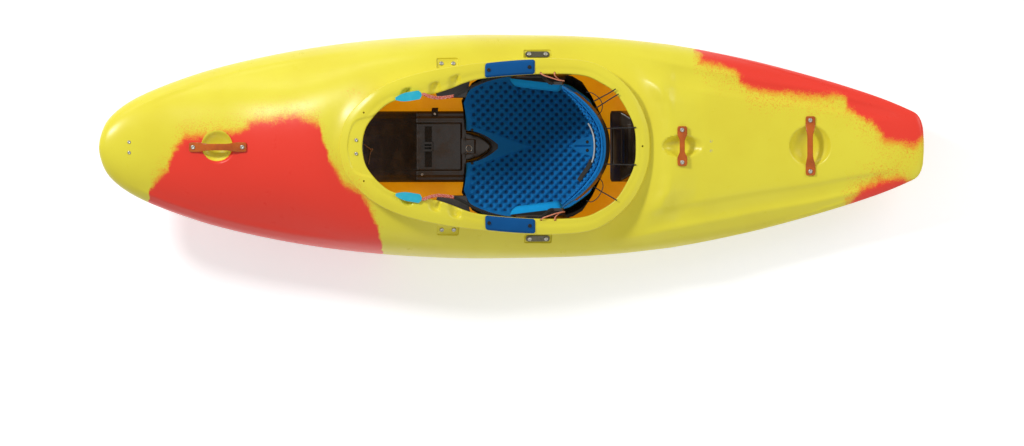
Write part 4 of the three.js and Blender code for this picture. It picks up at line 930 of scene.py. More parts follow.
def dish_floor(dish, x, y, grow):
    """Height of a dish's ellipsoid floor, far up where it doesn't lie."""
    along, rx, ry, deep = DISHES[dish]
    fullness = 1.6
    tall = deep * fullness
    stretch = 1 / math.sqrt(1 - ((fullness - 1) / fullness) ** 2)
    a, b, c = rx * stretch + grow, ry * stretch + grow, tall + grow
    top = float(deck_point(station(row_at(along), 0), 0.0)[1])
    inside = 1 - ((x - boat_x(along)) / a) ** 2 - (y / b) ** 2
    floor = top - deep + tall - c * np.sqrt(np.clip(inside, 0, None))
    return np.where(inside > 0, floor, 1e3)


def soft_least(a, b, reach):
    """The lower of two heights, rounded where they meet."""
    h = np.clip(0.5 + 0.5 * (b - a) / reach, 0, 1)
    return lerp(b, a, h) - reach * h * (1 - h)


def ridge(x, y):
    """Moulded steps of the rear deck: height added at a place."""
    edge = np.interp(x, *zip(*RIDGE_EDGE))
    outer = edge + np.interp(x, *zip(*RIDGE_VALLEY))
    off = np.abs(y)
    panel = RIDGE["panel"] * falling(off - edge, -0.008, 0.015)
    valley = RIDGE["valley"] * bell(off - lerp(edge, outer, 0.5), 0.026)
    lip = RIDGE["lip"] * bell(off - outer, 0.010)
    return rising(x, 0.33, 0.14) * falling(x, 1.08, 0.18) * (panel + valley + lip + RIDGE["sunk"])


def off_neck(x, y):
    """Distance of places from the outer face of the coaming's neck."""
    outer, inward, _ = rim_pairs(500)
    line = (outer + inward * NECK["inset"])[:, :2]
    spots = np.stack([x, y], -1).reshape(-1, 2)
    apart = np.min([np.hypot(*(spots - point).T) for point in line], axis=0)
    return apart.reshape(x.shape)


CREST = curve_through(CREST_HEIGHT)


def bent_crest(x, y):
    """The step behind the coaming, bent forward round it and lower towards the sides."""
    off = np.abs(y)
    ahead = np.interp(off, *zip(*CREST_BEND))
    low = 1 - 0.5 * rising(off, 0.14, 0.08)
    share = np.clip(falling(off, 0.15, 0.15) + 0.15, 0, 1) * eased((0.33 - off) / 0.05)
    return (low * CREST(x + ahead) - CREST(x)) * share


def shaped(rings, inset):
    """Presses the dishes, pockets and ridges into the deck side of the rings."""
    x, y, z = rings[..., 0], rings[..., 1], rings[..., 2].copy()
    off, share = np.abs(y), x / LENGTH + 0.5
    top = z > np.interp(x, *zip(*RAIL_ROWS)) + 0.02
    bead = BEAD["high"] * bell(straight(1, share) * BEAM / 2 - off - BEAD["inset"], BEAD["reach"])
    bead = bead * rising(x, -1.22, 0.12) * falling(x, -0.62, 0.25)
    z = np.where(top, z + ridge(x, y) + bead + bent_crest(x, y), z)
    for dish in DISHES:
        z = np.where(top, soft_least(z, dish_floor(dish, x, y, inset), 0.004 if inset else 0.006), z)
    if inset == 0:
        room = rim_top(np.clip(x, RIM["front"], RIM["front"] + RIM["length"])) - RIM["lip"] - 0.003 - z
        rise = np.clip(0.6 * room, 0, FILLET["high"]) * bell(off_neck(x, y), FILLET["reach"])
        return xyz(x, y, np.where(top, z + rise, z))
    for along, across, half_x, half_y in POCKETS.values():
        dx = np.abs(x - boat_x(along)) - half_x - POCKET["room"]
        dy = np.abs(off - across * BEAM / 2) - half_y - POCKET["room"]
        inside = falling(np.maximum(dx, dy), -0.003, 0.005)
        z = np.where(top, z - POCKET["under"] * POCKET["deep"] * inside, z)
    return xyz(x, y, z)


def deck_frame(x, y):
    """Place on the deck at x and y, its two ways along it and the way out."""
    row = float(row_at(x / LENGTH + 0.5))
    places = []
    for step in (-0.2, 0.2):
        at = station(row + step, 0)
        ys, zs = deck_point(at, np.linspace(0, 1, 400))
        places.append([np.array([float(at["x"]), off, np.interp(off, ys, zs)])
                       for off in (abs(y) - 0.01, abs(y), abs(y) + 0.01)])
    middle = (places[0][1] + places[1][1]) / 2
    along = unit(places[1][1] - places[0][1])
    across = (places[0][2] - places[0][0]) + (places[1][2] - places[1][0])
    across = unit(across - along * (across @ along))
    middle = middle + along * (x - middle[0]) / along[0]
    return middle, along, across, np.cross(along, across)


def rounded_loop(a, b, corner, each=6):
    """A closed loop of points round a rectangle with round corners."""
    return np.array([
        (sx * (a - corner) + corner * math.cos(turn), sy * (b - corner) + corner * math.sin(turn))
        for sx, sy, start in ((1, 1, 0), (-1, 1, 90), (-1, -1, 180), (1, -1, 270))
        for turn in np.radians(np.linspace(start, start + 90, each))
    ])


def pocket_body(kind, side):
    """The space of a flat-floored pocket, wider towards its mouth."""
    along, across, half_x, half_y = POCKETS[kind]
    place, way, over, out = deck_frame(boat_x(along), across * BEAM / 2)
    deep, draft = POCKET["deep"], POCKET["draft"]
    rings = []
    for lift, grow in ((-deep, -0.001), (-deep + 0.0007, 0.0), (0.0, draft * 0.5), (0.02, draft * 2.5)):
        loop = rounded_loop(half_x + grow, half_y + grow, POCKET["corner"])
        rings.append(place + loop[:, :1] * way + loop[:, 1:] * over + lift * out)
    return mirrored(loft(rings), side)


# Coaming
def rim_line(along, across):
    """The keyhole's outer or inner edge, by its two columns of the shares."""
    spot = lambda row, side: (rim_x(row[along]), side * row[across] * RIM["half"], 0)
    return [spot(row, 1) for row in RIM_SHARES] + [spot(row, -1) for row in RIM_SHARES[-2:0:-1]]


def matched(line, count):
    """Points of a closed smooth line at equal shares of its control points, so two lines stay paired."""
    points = np.array(line, float)
    out = []
    for share in np.linspace(0, len(points), count, endpoint=False):
        i, t = int(share), share - int(share)
        out.append(spline(*(points[(i + k) % len(points)] for k in (-1, 0, 1, 2)), t))
    return np.array(out)


RIM_HEIGHT = curve_through(RIM_TOP)


def rim_x(share):
    """Place along the boat of a share of the coaming's length."""
    return RIM["front"] + share * RIM["length"]


def rim_share(x):
    return (x - RIM["front"]) / RIM["length"]


def rim_top(x):
    return RIM_HEIGHT(rim_share(x)) * HEIGHT


def rim_pairs(count):
    """Points of the coaming's outer edge, the way inward from each and its width there."""
    outer, inner = matched(rim_line(0, 1), count), matched(rim_line(2, 3), count)
    way = inner - outer
    width = np.linalg.norm(way, axis=1)
    return outer, way / width[:, None], width


def arc(cx, cy, radius, start, stop, count):
    turn = np.radians(np.linspace(start, stop, count))
    return [(cx + radius * math.cos(t), cy + radius * math.sin(t)) for t in turn]


def crown_fall(reach):
    """How far the coaming's top has fallen towards its outer edge."""
    return CROWN["fall"] * np.clip(1 - reach / CROWN["reach"], 0, 1) ** 2


def grip_dent(x, inside):
    """Share of a finger scoop's depth at places on the coaming, by how far inside its inner edge."""
    dent = np.zeros(len(x))
    for along in GRIPS:
        off = np.abs(x - RIM["front"] - along * RIM["length"]) / (GRIP["half"] - 0.2 * inside)
        scoop = np.clip(1.1 - off, 0, 0.85) / 0.85
        dent = np.maximum(dent, scoop * falling(inside, GRIP["across"], 0.012))
    return dent


def coaming_body(count):
    """The coaming's section of reach inward and fall from its top, swept round the keyhole."""
    outer, inward, width = rim_pairs(count)
    lip, skin, inset, wall = RIM["lip"], RIM["skin"], NECK["inset"], NECK["skin"]
    r_edge, r_low, r_neck = 0.0045, 0.004, 0.006
    edge = float(crown_fall(r_edge))
    rings = []
    for start, way, wide in zip(outer, inward, width):
        flat = np.linspace(wide - r_edge, r_edge, 22)
        top = arc(wide - r_edge, r_edge, r_edge, 0, -90, 6)[:-1] + list(zip(flat, crown_fall(flat)))
        section = top + arc(r_edge, edge + r_edge, r_edge, -90, -180, 6)[1:]
        section += arc(r_low, lip - r_low, r_low, 180, 90, 5)
        section += arc(inset - r_neck, lip + r_neck, r_neck, -90, 0, 5)
        section += [(inset, NECK["drop"]), (inset + wall, NECK["drop"]), (inset + wall, skin + r_neck)]
        section += arc(inset + wall + r_neck, skin + r_neck, r_neck, 180, 270, 4)[1:]
        section += arc(wide - r_edge, skin - r_edge, r_edge, 90, 0, 4)
        reach, fall = np.array(section).T
        spots, inside = start + reach[:, None] * way, wide - reach
        upper = np.arange(len(section)) < len(top)
        loose = upper | ((reach >= inset + wall) & (fall < 0.03))
        share = rim_share(spots[:, 0])
        ahead = rising(share, RIM_PANEL["front"], RIM_PANEL["rear"] - RIM_PANEL["front"])
        crease = lerp(RIM_PANEL["inset"], wide, ahead)
        panel = rising(reach, crease, 0.005) * (share < RIM_PANEL["rear"])
        bead = CROWN["bead"] * bell(inside - 0.017, 0.007) * (1 - panel)
        dent = GRIP["deep"] * grip_dent(spots[:, 0], inside) * np.where(upper, 1, GRIP["under"])
        fall = fall + np.where(loose, dent, 0) + np.where(upper, bead + RIM_PANEL["deep"] * panel, 0)
        rings.append(xyz(spots[:, 0], spots[:, 1], rim_top(spots[:, 0]) - fall))
    rings = np.array(rings)
    return rings.reshape(-1, 3), grid_quads(*rings.shape[:2], ring=True, loop=True)


def mouth_body(count):
    """The cockpit's opening, down the middle of the neck's wall."""
    outer, inward, _ = rim_pairs(count)
    edge = outer + inward * (NECK["inset"] + NECK["skin"] / 2)
    return loft([xyz(edge[:, 0], edge[:, 1], z) for z in (0.4 * HEIGHT, HEIGHT + 0.06)])


# Seat, pads and backband
SEAT_HALF = curve_through(SEAT_OUTLINE)
SEAT_RISE = curve_through(SEAT_BASE)
SEAT_FRONT = boat_x(SEAT["front"])
PAN_TOP = WALL + SEAT["clear"] + SEAT["pan"]
BAND_HEIGHT = curve_through(BAND_TOP)
WEDGE = {"long": 0.193, "wide": 0.07}
TAIL = ((0.157, 0.0), (0.18, 0.017), (0.222, 0.03))


def seat_half(u):
    """Half width of the seat's foam, which ends under the backband."""
    x = SEAT_FRONT + u * SEAT["long"]
    half = SEAT_HALF(u) * SEAT["half"]
    back = np.clip((BAND["rear"] - x) / BAND["reach"], 0, 1)
    return lerp(half, np.minimum(half, BAND["half"] * back ** (1 / BAND["bend"])), rising(x, 0.10, 0.06))


def seat_border(x, y):
    """Distance of places on the seat from its outline."""
    half = seat_half(np.clip((x - SEAT_FRONT) / SEAT["long"], 0, 1))
    return np.minimum(np.minimum(x - SEAT_FRONT, SEAT_FRONT + SEAT["long"] - x), half - np.abs(y))


def seat_point(u, v, lift):
    """A place on the pan by shares along and across, lifted."""
    rise = SEAT_RISE(u) * SEAT["front_rise"] + SEAT["side_rise"] * np.abs(v) ** SEAT["curl"]
    return xyz(SEAT_FRONT + u * SEAT["long"], v * seat_half(u), PAN_TOP + rise + lift)


def egg_crate(a, b, pitch):
    """Depth of egg-crate foam at places, from 0 on its bumps to 1 in its dimples."""
    return 0.5 - 0.5 * (np.cos(2 * np.pi * a / pitch) * np.cos(2 * np.pi * b / pitch))


def seat_dimples(x, y, pitch):
    """Share of a full dimple at places on the seat: none on its border, its wedge and its tail."""
    off = np.abs(y)
    wedge = (x - SEAT_FRONT) / WEDGE["long"] + off / WEDGE["wide"]
    smooth = rising(seat_border(x, y), SEAT["border"], 0.007) * rising(wedge, 1, 0.08)
    smooth = np.where(x > 0.150, smooth * rising(off, np.interp(x, *zip(*TAIL)), 0.006), smooth)
    return smooth * egg_crate(x + 0.004, y, pitch)


def seat_pad_body(pitch, bump, cell):
    """Foam pad with egg-crate bumps inside a smooth border and a smooth wedge at its front."""
    u, v = share_grid(int(SEAT["long"] / cell), int(2 * SEAT["half"] / cell), 0, -1)
    flat = seat_point(u, v, 0)
    x, y = flat[..., 0], flat[..., 1]
    edge = np.minimum(1, seat_border(x, y) / SEAT["round"])
    swell = lerp(SEAT["rim"], SEAT["thick"], np.sqrt(np.clip(edge * (2 - edge), 0, 1)))
    dimples = bump * seat_dimples(x, y, pitch)
    slit = 0.007 * bell(y, 0.002) * rising(x, 0.168, 0.005) * falling(x, 0.222, 0.004)
    slot = 0.010 * bell(x + 0.008, 0.0035) * rising(y, 0.157, 0.004) * falling(y, 0.2, 0.006)
    return slab(seat_point(u, v, GAP), seat_point(u, v, GAP + swell - dimples - slit - slot))


def notch_body():
    """The cut in the seat's front round the pillar's nose."""
    half, long = SEAT["notch_half"], SEAT["notch"]
    t = np.linspace(0, 1, 24)
    bend = lambda a, b, c: (1 - t) ** 2 * a + 2 * t * (1 - t) * b + t * t * c
    side = np.stack([bend(0, long / 2, long), bend(half, half, half / 8)], 1)
    line = np.vstack([[(-0.06, half)], side, (side * (1, -1))[::-1], [(-0.06, -half)]])
    return loft([xyz(line[:, 0] + SEAT_FRONT, line[:, 1], z) for z in (0, HEIGHT)])


def wing_face(z):
    """Inner face of the seat's wing at a height."""
    return HIP["plane"] - HIP["lean"] * (z - HIP["foot"]) / (HIP["top"] - HIP["foot"])


def hip_pad_body(side):
    """A fat pad whose inner face bulges, flat where it lies on the seat's wing."""
    u, v = share_grid(64, 40)
    corner = HIP["corner"]
    off = np.maximum(np.abs(u - 0.5) - 0.5 + corner * 0.8, 0) / (corner * 0.8)
    rise = np.maximum(np.abs(v - 0.5) - 0.5 + corner, 0) / corner
    ends, edges = (1 - np.clip(way, 0, 1) ** 2.4 for way in (off, rise))
    full = 0.16 + 0.84 * np.sqrt(np.clip(ends * edges, 0, 1))
    swell = HIP["thick"] * (0.72 + 0.28 * np.sin(np.pi * v)) * full * lerp(0.6, 1.0, u)
    x = SEAT_FRONT + lerp(HIP["front"], HIP["rear"], u) * SEAT["long"]
    z = lerp(HIP["pad_foot"], HIP["pad_top"], v)
    wall = wing_face(z) - GAP
    return mirrored(slab(xyz(x, wall, z), xyz(x, wall - swell, z)), side)


def band_plan(t):
    return np.stack([BAND["rear"] - BAND["reach"] * np.abs(t) ** BAND["bend"], BAND["half"] * t], -1)


def band_section(v):
    """Place, outward way, height of foot and height of top of the band at shares v from its middle."""
    nudge = 1e-3
    line = unit(band_plan(v + nudge) - band_plan(v - nudge))
    out = np.stack([line[..., 1], -line[..., 0]], -1)
    return band_plan(v), out, BAND["foot"] + BAND["foot_rise"] * v * v, BAND_HEIGHT(np.abs(v)) * HEIGHT


def band_thick(v):
    """Thickness of the backband's foam, less towards its ends."""
    return lerp(BAND["edge"] + 0.003, BAND["thick"], eased((1 - abs(v)) / 0.45))


def band_layer(front, reach, pitch):
    """One of the backband's two foam layers, and how deep its dimples are; the front one is dimpled."""
    share = np.linspace(0, 1, 30)
    corner = 0.14
    into = np.maximum(np.abs(share - 0.5) - 0.5 + corner, 0) / corner
    round_off = np.sqrt(np.clip(1 - into ** 2, 0, 1))
    near, far = (0.44, 1.0) if front else (0.0, 0.42)
    middle, half = (near + far) / 2, (far - near) / 2
    rim = np.linspace(1, -1, 12)[1:-1]
    near_side, far_side = (middle - half * round_off)[::-1], middle + half * round_off
    depth = np.concatenate([far_side, middle + half * 0.2 * rim, near_side])
    height = np.concatenate([share, np.ones(len(rim)), share[::-1]])
    brow = rising(height, 0.86, 0.06)
    around = np.linspace(-reach, reach, 300)
    places, outs, feet, tops = band_section(around)
    along = walked(places)
    along -= along[-1] / 2
    rings, pits = [], []
    for v, place, out, foot, top, arc_at in zip(around, places, outs, feet, tops, along):
        tip = np.clip((abs(v) - reach + BAND["end_round"]) / BAND["end_round"], 0, 1)
        end = math.sqrt(np.clip(1 - tip ** 2, 0.02, 1))
        thick = band_thick(v) * (0.35 + 0.65 * end)
        shrink = 0.15 * (1 - end)
        z = lerp(foot, top, shrink + (1 - 2 * shrink) * height)
        if front:
            pit = rising(depth, 0.55, 0.12) * egg_crate(arc_at, z - top, pitch * 0.7) * end
            reached = depth * thick - 0.32 * thick * pit
            z = z - 0.007 * pit * brow
        else:
            pit = np.zeros(len(depth))
            lean = brow * eased((0.3 - depth) / 0.15) * eased((0.9 - abs(v)) / 0.06)
            reached = depth * thick - 0.0052 * lean
        rings.append(np.column_stack([place - out * reached[:, None], z]))
        pits.append(pit)
    return loft(rings), np.concatenate([*pits, [0, 0]])


def band_strip(start, stop, near, deep, low, high):
    """A strap lying on the backband's front face between two shares of its way round."""
    around = np.linspace(start, stop, 60)
    places, outs, _, tops = band_section(around)
    corners = ((near, low), (near + deep, low), (near + deep, high), (near, high))
    return loft([
        [(*(place - out * (band_thick(v) + reach)), top - BAND["thick"] + z) for reach, z in corners]
        for v, place, out, top in zip(around, places, outs, tops)
    ])


RIM_LINES = rim_pairs(800)


def rim_half(x, edge):
    """Half width of the coaming's outer (0) or inner (1) edge at places along it."""
    outer, inward, width = RIM_LINES
    line = outer if edge == 0 else outer + inward * width[:, None]
    upper = line[: len(line) // 2]
    order = np.argsort(upper[:, 0])
    return np.interp(x, upper[order, 0], upper[order, 1])


def crown_at(x, y):
    """How far the coaming's top has fallen at places beside its middle."""
    return crown_fall(np.clip(rim_half(x, 0) - y, 0, None))


def rounded_grid(a, b, corner, rows, columns):
    """A grid over a rectangle with round corners: its places, and their distance from its edge."""
    u, v = share_grid(rows, columns, -1, -1)
    size = np.maximum(np.abs(u), np.abs(v))
    x, y = np.abs(u) * a, np.abs(v) * b
    dx, dy = x - (a - corner) * size, y - (b - corner) * size
    turn = np.arctan2(dy, dx)
    inside = (dx > 0) & (dy > 0)
    x = np.where(inside, (a - corner) * size + corner * size * np.cos(turn), x)
    y = np.where(inside, (b - corner) * size + corner * size * np.sin(turn), y)
    return np.sign(u) * x, np.sign(v) * y, np.minimum(a - np.abs(x), b - np.abs(y))


def rim_pad_body(side):
    """A rubber pad that follows the coaming: a thin flange round a fuller middle."""
    front, rear = rim_x(RIM_PAD["front"]), rim_x(RIM_PAD["rear"])
    across = RIM_PAD["across"]
    x, y, near = rounded_grid((rear - front) / 2, across, RIM_PAD["corner"], 90, 34)
    x = x + (front + rear) / 2
    spot = lerp(rim_half(x, 1) + 0.001, rim_half(x, 0) - 0.003, 0.5 + 0.5 * y / across)
    rise = np.clip((near - 0.003) / 0.004, 0, 1)
    lift = RIM_PAD["flange"] + RIM_PAD["high"] * np.sqrt(rise * (2 - rise))
    lift = lift - 0.002 * eased((0.0015 - near) / 0.0015)
    seat = rim_top(x) - crown_at(x, spot)
    return mirrored(slab(xyz(x, spot, seat + 2 * GAP), xyz(x, spot, seat + lift)), side)


def footrest_pad_body():
    """Foam on the footrest's plate, with a soft bevel all round."""
    low, high = (np.array(c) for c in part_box("footrest_pad"))
    u, v = share_grid(60, 44, -1, -1)
    stretch = 1 / np.maximum(1, (np.abs(u) ** 8 + np.abs(v) ** 8) ** 0.125)
    y = lerp(low[1], high[1], 0.5 + 0.5 * u * stretch)
    z = lerp(low[2], high[2], 0.5 + 0.5 * v * stretch)
    near = np.clip((1 - np.maximum(np.abs(u), np.abs(v))) / 0.12, 0, 1)
    x = lerp(low[0] + 0.006, high[0], np.sqrt(near * (2 - near)))
    x = x - 0.003 * egg_crate(y, z, bpy.context.scene.kayak_foam.pitch) * near
    return slab(xyz(low[0], y, z), xyz(x, y, z))


def under_deck(x, y):
    """Height of the shell's inner skin above places given row by row."""
    turns = even_turns(deck_point, 60, 1.0), even_turns(side_point, 4, 0)
    rings = shaped(section_rings(row_at(x[:, 0] / LENGTH + 0.5), WALL, *turns), WALL)[:, :61]
    return np.array([np.interp(np.abs(off), ring[:, 1], ring[:, 2]) for off, ring in zip(y, rings)])


def keel_line(x):
    """Height of the shell's inner floor on the middle line."""
    return np.maximum(straight(2, x / LENGTH + 0.5), 0) * HEIGHT + WALL


def pillar_body(line, halves, relief, count, columns):
    """A moulded pillar: a profile line of x and z, its half widths along x, and relief over its top."""
    path = np.array([(x, 0, z) for x, z in line], float)
    reach = walked(path)
    at = np.linspace(0, reach[-1], count)
    x, top = np.interp(at, reach, path[:, 0]), np.interp(at, reach, path[:, 2])
    for _ in range(3):
        top[1:-1] = (top[:-2] + 2 * top[1:-1] + top[2:]) / 4
    v = np.sin(np.linspace(-1, 1, columns) * np.pi / 2)
    half = np.interp(x, *zip(*halves))[:, None]
    x, y = np.broadcast_arrays(x[:, None], half * v)
    near = np.clip((half - np.abs(y)) / 0.009, 0, 1)
    z = np.minimum(top[:, None] + relief(x, y), under_deck(x, y) - 0.003)
    z = z - 0.007 * (1 - np.sqrt(near * (2 - near)))
    floor = keel_line(x) + PILLAR_FOOT
    return slab(xyz(x, y, floor), xyz(x, y, np.maximum(z, floor + 0.004)))


def front_relief(x, y):
    """Long ribs beside a recess for the strap, a step behind it and a crowned nose."""
    off = np.abs(y)
    recess = -0.0068 * rising(x, -0.465, 0.03) * falling(x, -0.194, 0.006) * falling(off, 0.071, 0.006)
    middle = 0.0035 * bell(off - 0.035, 0.010) * falling(x, -0.335, 0.02) * rising(x, -0.46, 0.03)
    rib = 0.0022 * bell(off - 0.088, 0.005) * rising(x, -0.46, 0.02) * falling(x, -0.185, 0.01)
    channel = -0.003 * falling(off, 0.020, 0.006) * rising(x, -0.190, 0.004)
    channel = channel * falling(x, -0.150, 0.006)
    return recess + middle + rib + channel - 0.010 * (off / 0.05) ** 2 * rising(x, -0.172, 0.02)


def rear_relief(x, y):
    """A trough in the front slope and a raised box with rounded shoulders behind it."""
    off = np.abs(y)
    trough = -0.013 * falling(off, 0.052, 0.010) * rising(x, 0.300, 0.008) * falling(x, 0.338, 0.012)
    box = 0.006 * falling(off, 0.060, 0.008) * rising(x, 0.352, 0.010)
    return trough + box - 0.002 * bell(off, 0.012) * rising(x, 0.356, 0.01)


def front_pillar_body():
    low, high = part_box("front_pillar")
    line = [(low[0], high[2]), (-0.4576, 0.397), (-0.3328, 0.066), (high[0], 0.066)]
    halves = [(low[0], 0.112), (-0.1790, 0.112), (-0.1760, 0.046), (-0.160, 0.0445), (-0.140, 0.038),
              (-0.120, 0.026), (-0.106, 0.014), (high[0], 0.006)]
    return pillar_body(line, halves, front_relief, 300, 70)


def pillar_foot_body():
    """The low foot of the front pillar, which reaches back under the seat's notch."""
    x, y, near = rounded_grid(PILLAR_BASE["long"], PILLAR_BASE["wide"], PILLAR_BASE["corner"], 30, 24)
    x = x + PILLAR_BASE["x"]
    base = keel_line(x) + PILLAR_FOOT
    top = base + PILLAR_BASE["edge"] + PILLAR_BASE["rise"] * eased(near / 0.006)
    return slab(xyz(x, y, base), xyz(x, y, top))


def rear_pillar_body():
    low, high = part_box("rear_pillar")
    line = [
        (low[0], 0.150), (0.302, 0.164), (0.3354, 0.200), (0.372, 0.215), (0.416, 0.262), (high[0], 0.262),
    ]
    halves = [
        (low[0], 0.105), (0.300, 0.112), (0.334, 0.112), (0.350, 0.104), (0.366, 0.094), (high[0], 0.094),
    ]
    return pillar_body(line, halves, rear_relief, 200, 60)


def strap_tail_body():
    """The strap's end beside the pillar, which droops over the pillar's edge."""
    u, v = share_grid(9, 16)
    x, y = STRAP_TAIL["x"] + STRAP_TAIL["wide"] * u, STRAP_TAIL["y"] + STRAP_TAIL["long"] * v
    z = STRAP_TAIL["z"] - STRAP_TAIL["droop"] * np.clip((v - 0.62) / 0.38, 0, 1) ** 2
    return slab(xyz(x, y, z), xyz(x, y, z + STRAP_THICK))


# Hand holds and bolts
def bolt_frame(name):
    """A bolt of the frame: the middle of its head's underside, and its way out."""
    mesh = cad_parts[name].data
    spots = np.unique(np.round([list(v.co) for v in mesh.vertices], 6), axis=0)
    middle = spots.mean(0)
    values, vectors = np.linalg.eigh(np.cov((spots - middle).T))
    odd = int(np.argmax([abs(values[k] - (values.sum() - values[k]) / 2) for k in range(3)]))
    way = vectors[:, odd]
    along = (spots - middle) @ way
    radius = np.linalg.norm(spots - middle - along[:, None] * way, axis=1)
    head = along[radius > radius.max() * 0.8]
    if head.mean() < 0:
        way, head = -way, -head
    return middle + way * head.min(), way


def between_bolts(*names):
    """Middle of two bolts, the way from one to the other, the way across it and the way out."""
    (a, way_a), (b, way_b) = (bolt_frame(name) for name in names)
    line = unit(b - a)
    out = way_a + way_b
    out = unit(out - line * (out @ line))
    return (a + b) / 2, line, np.cross(out, line), out


def bar_body(name, ends, span, foot, end, waist, thick, rise):
    """A waisted hand hold with rounded edges, standing on its two bolted feet."""
    middle, line, across, up = between_bolts(*(f"{name}_bolt_{word}" for word in ends))
    origin = middle - up * (thick + GAP)
    edge = 0.0022
    curl = edge * (1 - np.cos(np.linspace(0, np.pi / 2, 5)[:-1]))
    straight_part = np.linspace(-span / 2 + edge, span / 2 - edge, 90)
    corners = [(cx, thick - edge if top else edge, turn)
               for cx, top, start in ((1, True, 0), (-1, True, 90), (-1, False, 180), (1, False, 270))
               for turn in np.radians(np.linspace(start, start + 90, 5))]
    rings = []
    for x in np.concatenate([-span / 2 + curl, straight_part, (span / 2 - curl)[::-1]]):
        into = abs(x) - (span / 2 - edge)
        pinch = edge * (1 - math.sqrt(max(0, 1 - (max(into, 0) / edge) ** 2)))
        inner = np.clip((span / 2 - foot - abs(x)) / (span / 2 - foot), 0, 1)
        tip = np.clip((span / 2 - abs(x)) / 0.012, 0, 1)
        wide = lerp(end, waist, eased(inner / 0.6)) * (0.72 + 0.28 * math.sqrt(tip * (2 - tip))) / 2 - pinch
        lift = rise * math.sin(math.pi / 2 * min(inner * 1.6, 1))
        rings.append([
            origin + line * x + across * (cx * (wide - edge) + edge * math.cos(turn))
            + up * (z + (edge - pinch * 0.6) * math.sin(turn) + lift) for cx, z, turn in corners
        ])
    return loft(rings)


def plate_body(side_word):
    """A plate with round ends under two bolts of the hanger."""
    names = (f"hanger_bolt_{side_word}_{end}" for end in ("front", "rear"))
    middle, along, over, out = between_bolts(*names)
    x, y, near = rounded_grid(WASHER["long"], WASHER["wide"], WASHER["corner"], 40, 20)
    rise = np.clip(near / WASHER["bevel"], 0, 1)
    top = -GAP - WASHER["soft"] * (1 - np.sqrt(rise * (2 - rise)))
    flat = middle + x[..., None] * along + y[..., None] * over
    return slab(flat - WASHER["thick"] * out, flat + top[..., None] * out)


# Cords and straps
def route_points(route, count, side=1):
    return catmull(np.array(route) * MM * (1, side, 1), count)


def chained_cord(path):
    """Three strands looped through each other along a path."""
    line = unit(np.gradient(path, axis=0))
    flat = unit(np.cross(line, (0, 0, 1)))
    up = np.cross(flat, line)
    along, reach = walked(path), CHAIN["reach"]
    taper = np.clip(np.minimum(along, along[-1] - along) / CHAIN["taper"], 0.25, 1)
    strands = []
    for k in range(3):
        turn = 2 * np.pi * (along / CHAIN["pitch"] + k / 3)
        offset = flat * (np.sin(turn) * reach * 0.56 * taper)[:, None]
        offset += up * (np.sin(2 * turn) * reach * 0.3 * taper)[:, None]
        strands.append(tube(path + offset, reach * 0.42, 7))
    return together(*strands)


def laid_on(name, places, lift):
    """Places dropped straight down onto an object, then lifted off its face."""
    found = []
    for x, y in places:
        hit, spot, normal, _ = bpy.data.objects[name].ray_cast((x, y, 1.0), (0, 0, -1))
        if not hit:
            raise ValueError(f"nothing of {name} lies under {x:.3f}, {y:.3f}")
        found.append(np.array(spot + normal * lift))
    return np.array(found)


def knot(centre, radius):
    """A small overhand knot: a trefoil of cord drawn tight."""
    t = np.linspace(0, 2 * np.pi, 60)
    loop = xyz(np.sin(t) + 2 * np.sin(2 * t), np.cos(t) - 2 * np.cos(2 * t), -np.sin(3 * t))
    return tube(np.asarray(centre) + loop * radius / 3.2, radius * 0.42, 8)


# Property groups
class KayakShellSizes(bpy.types.PropertyGroup):
    yellow: FloatVectorProperty(
        name="Yellow", description="Base colour of the shell", subtype="COLOR", size=3, min=0, max=1,
        default=hexed("E9DD3C"))
    red: FloatVectorProperty(
        name="Red", description="Sprayed colour at bow and stern", subtype="COLOR", size=3, min=0, max=1,
        default=hexed("EE3A28"))
    rings: IntProperty(
        name="Rings", description="Rings of the outer skin along the boat", min=60, max=500, default=330)
    around: IntProperty(
        name="Deck points", description="Points across half of the deck", min=16, max=100, default=60)


class KayakFoamSizes(bpy.types.PropertyGroup):
    blue: FloatVectorProperty(
        name="Blue", description="Colour of the foam", subtype="COLOR", size=3, min=0, max=1,
        default=hexed("06A2EC"))
    pitch: FloatProperty(
        name="Bump pitch", description="Distance between bumps of the egg-crate foam", subtype="DISTANCE",
        unit="LENGTH", default=0.0288)
    bump: FloatProperty(
        name="Bump height", description="Depth between the foam's bumps", subtype="DISTANCE",
        unit="LENGTH", default=0.0125)
    cell: FloatProperty(
        name="Cell", description="Size of the foam mesh's cells", subtype="DISTANCE", unit="LENGTH",
        default=0.0026)


class KayakBoltSizes(bpy.types.PropertyGroup):
    head: FloatProperty(
        name="Head", description="Radius of a large bolt's head", subtype="DISTANCE", unit="LENGTH",
        default=0.007)
    crown: FloatProperty(
        name="Crown", description="Height of a large bolt's head", subtype="DISTANCE", unit="LENGTH",
        default=0.0035)
    small: FloatProperty(
        name="Small bolt", description="Size of a small bolt as a share of a large one", subtype="FACTOR",
        min=0.2, max=1, default=0.79)


class KayakStageSizes(bpy.types.PropertyGroup):
    tilt: FloatProperty(
        name="Tilt", description="Lean of the camera towards the stern", subtype="ANGLE", default=SIGHT)
    pixel: FloatProperty(
        name="Picture point", description="Size of one picture point on the object", subtype="DISTANCE",
        unit="LENGTH", precision=6, default=0.003155)


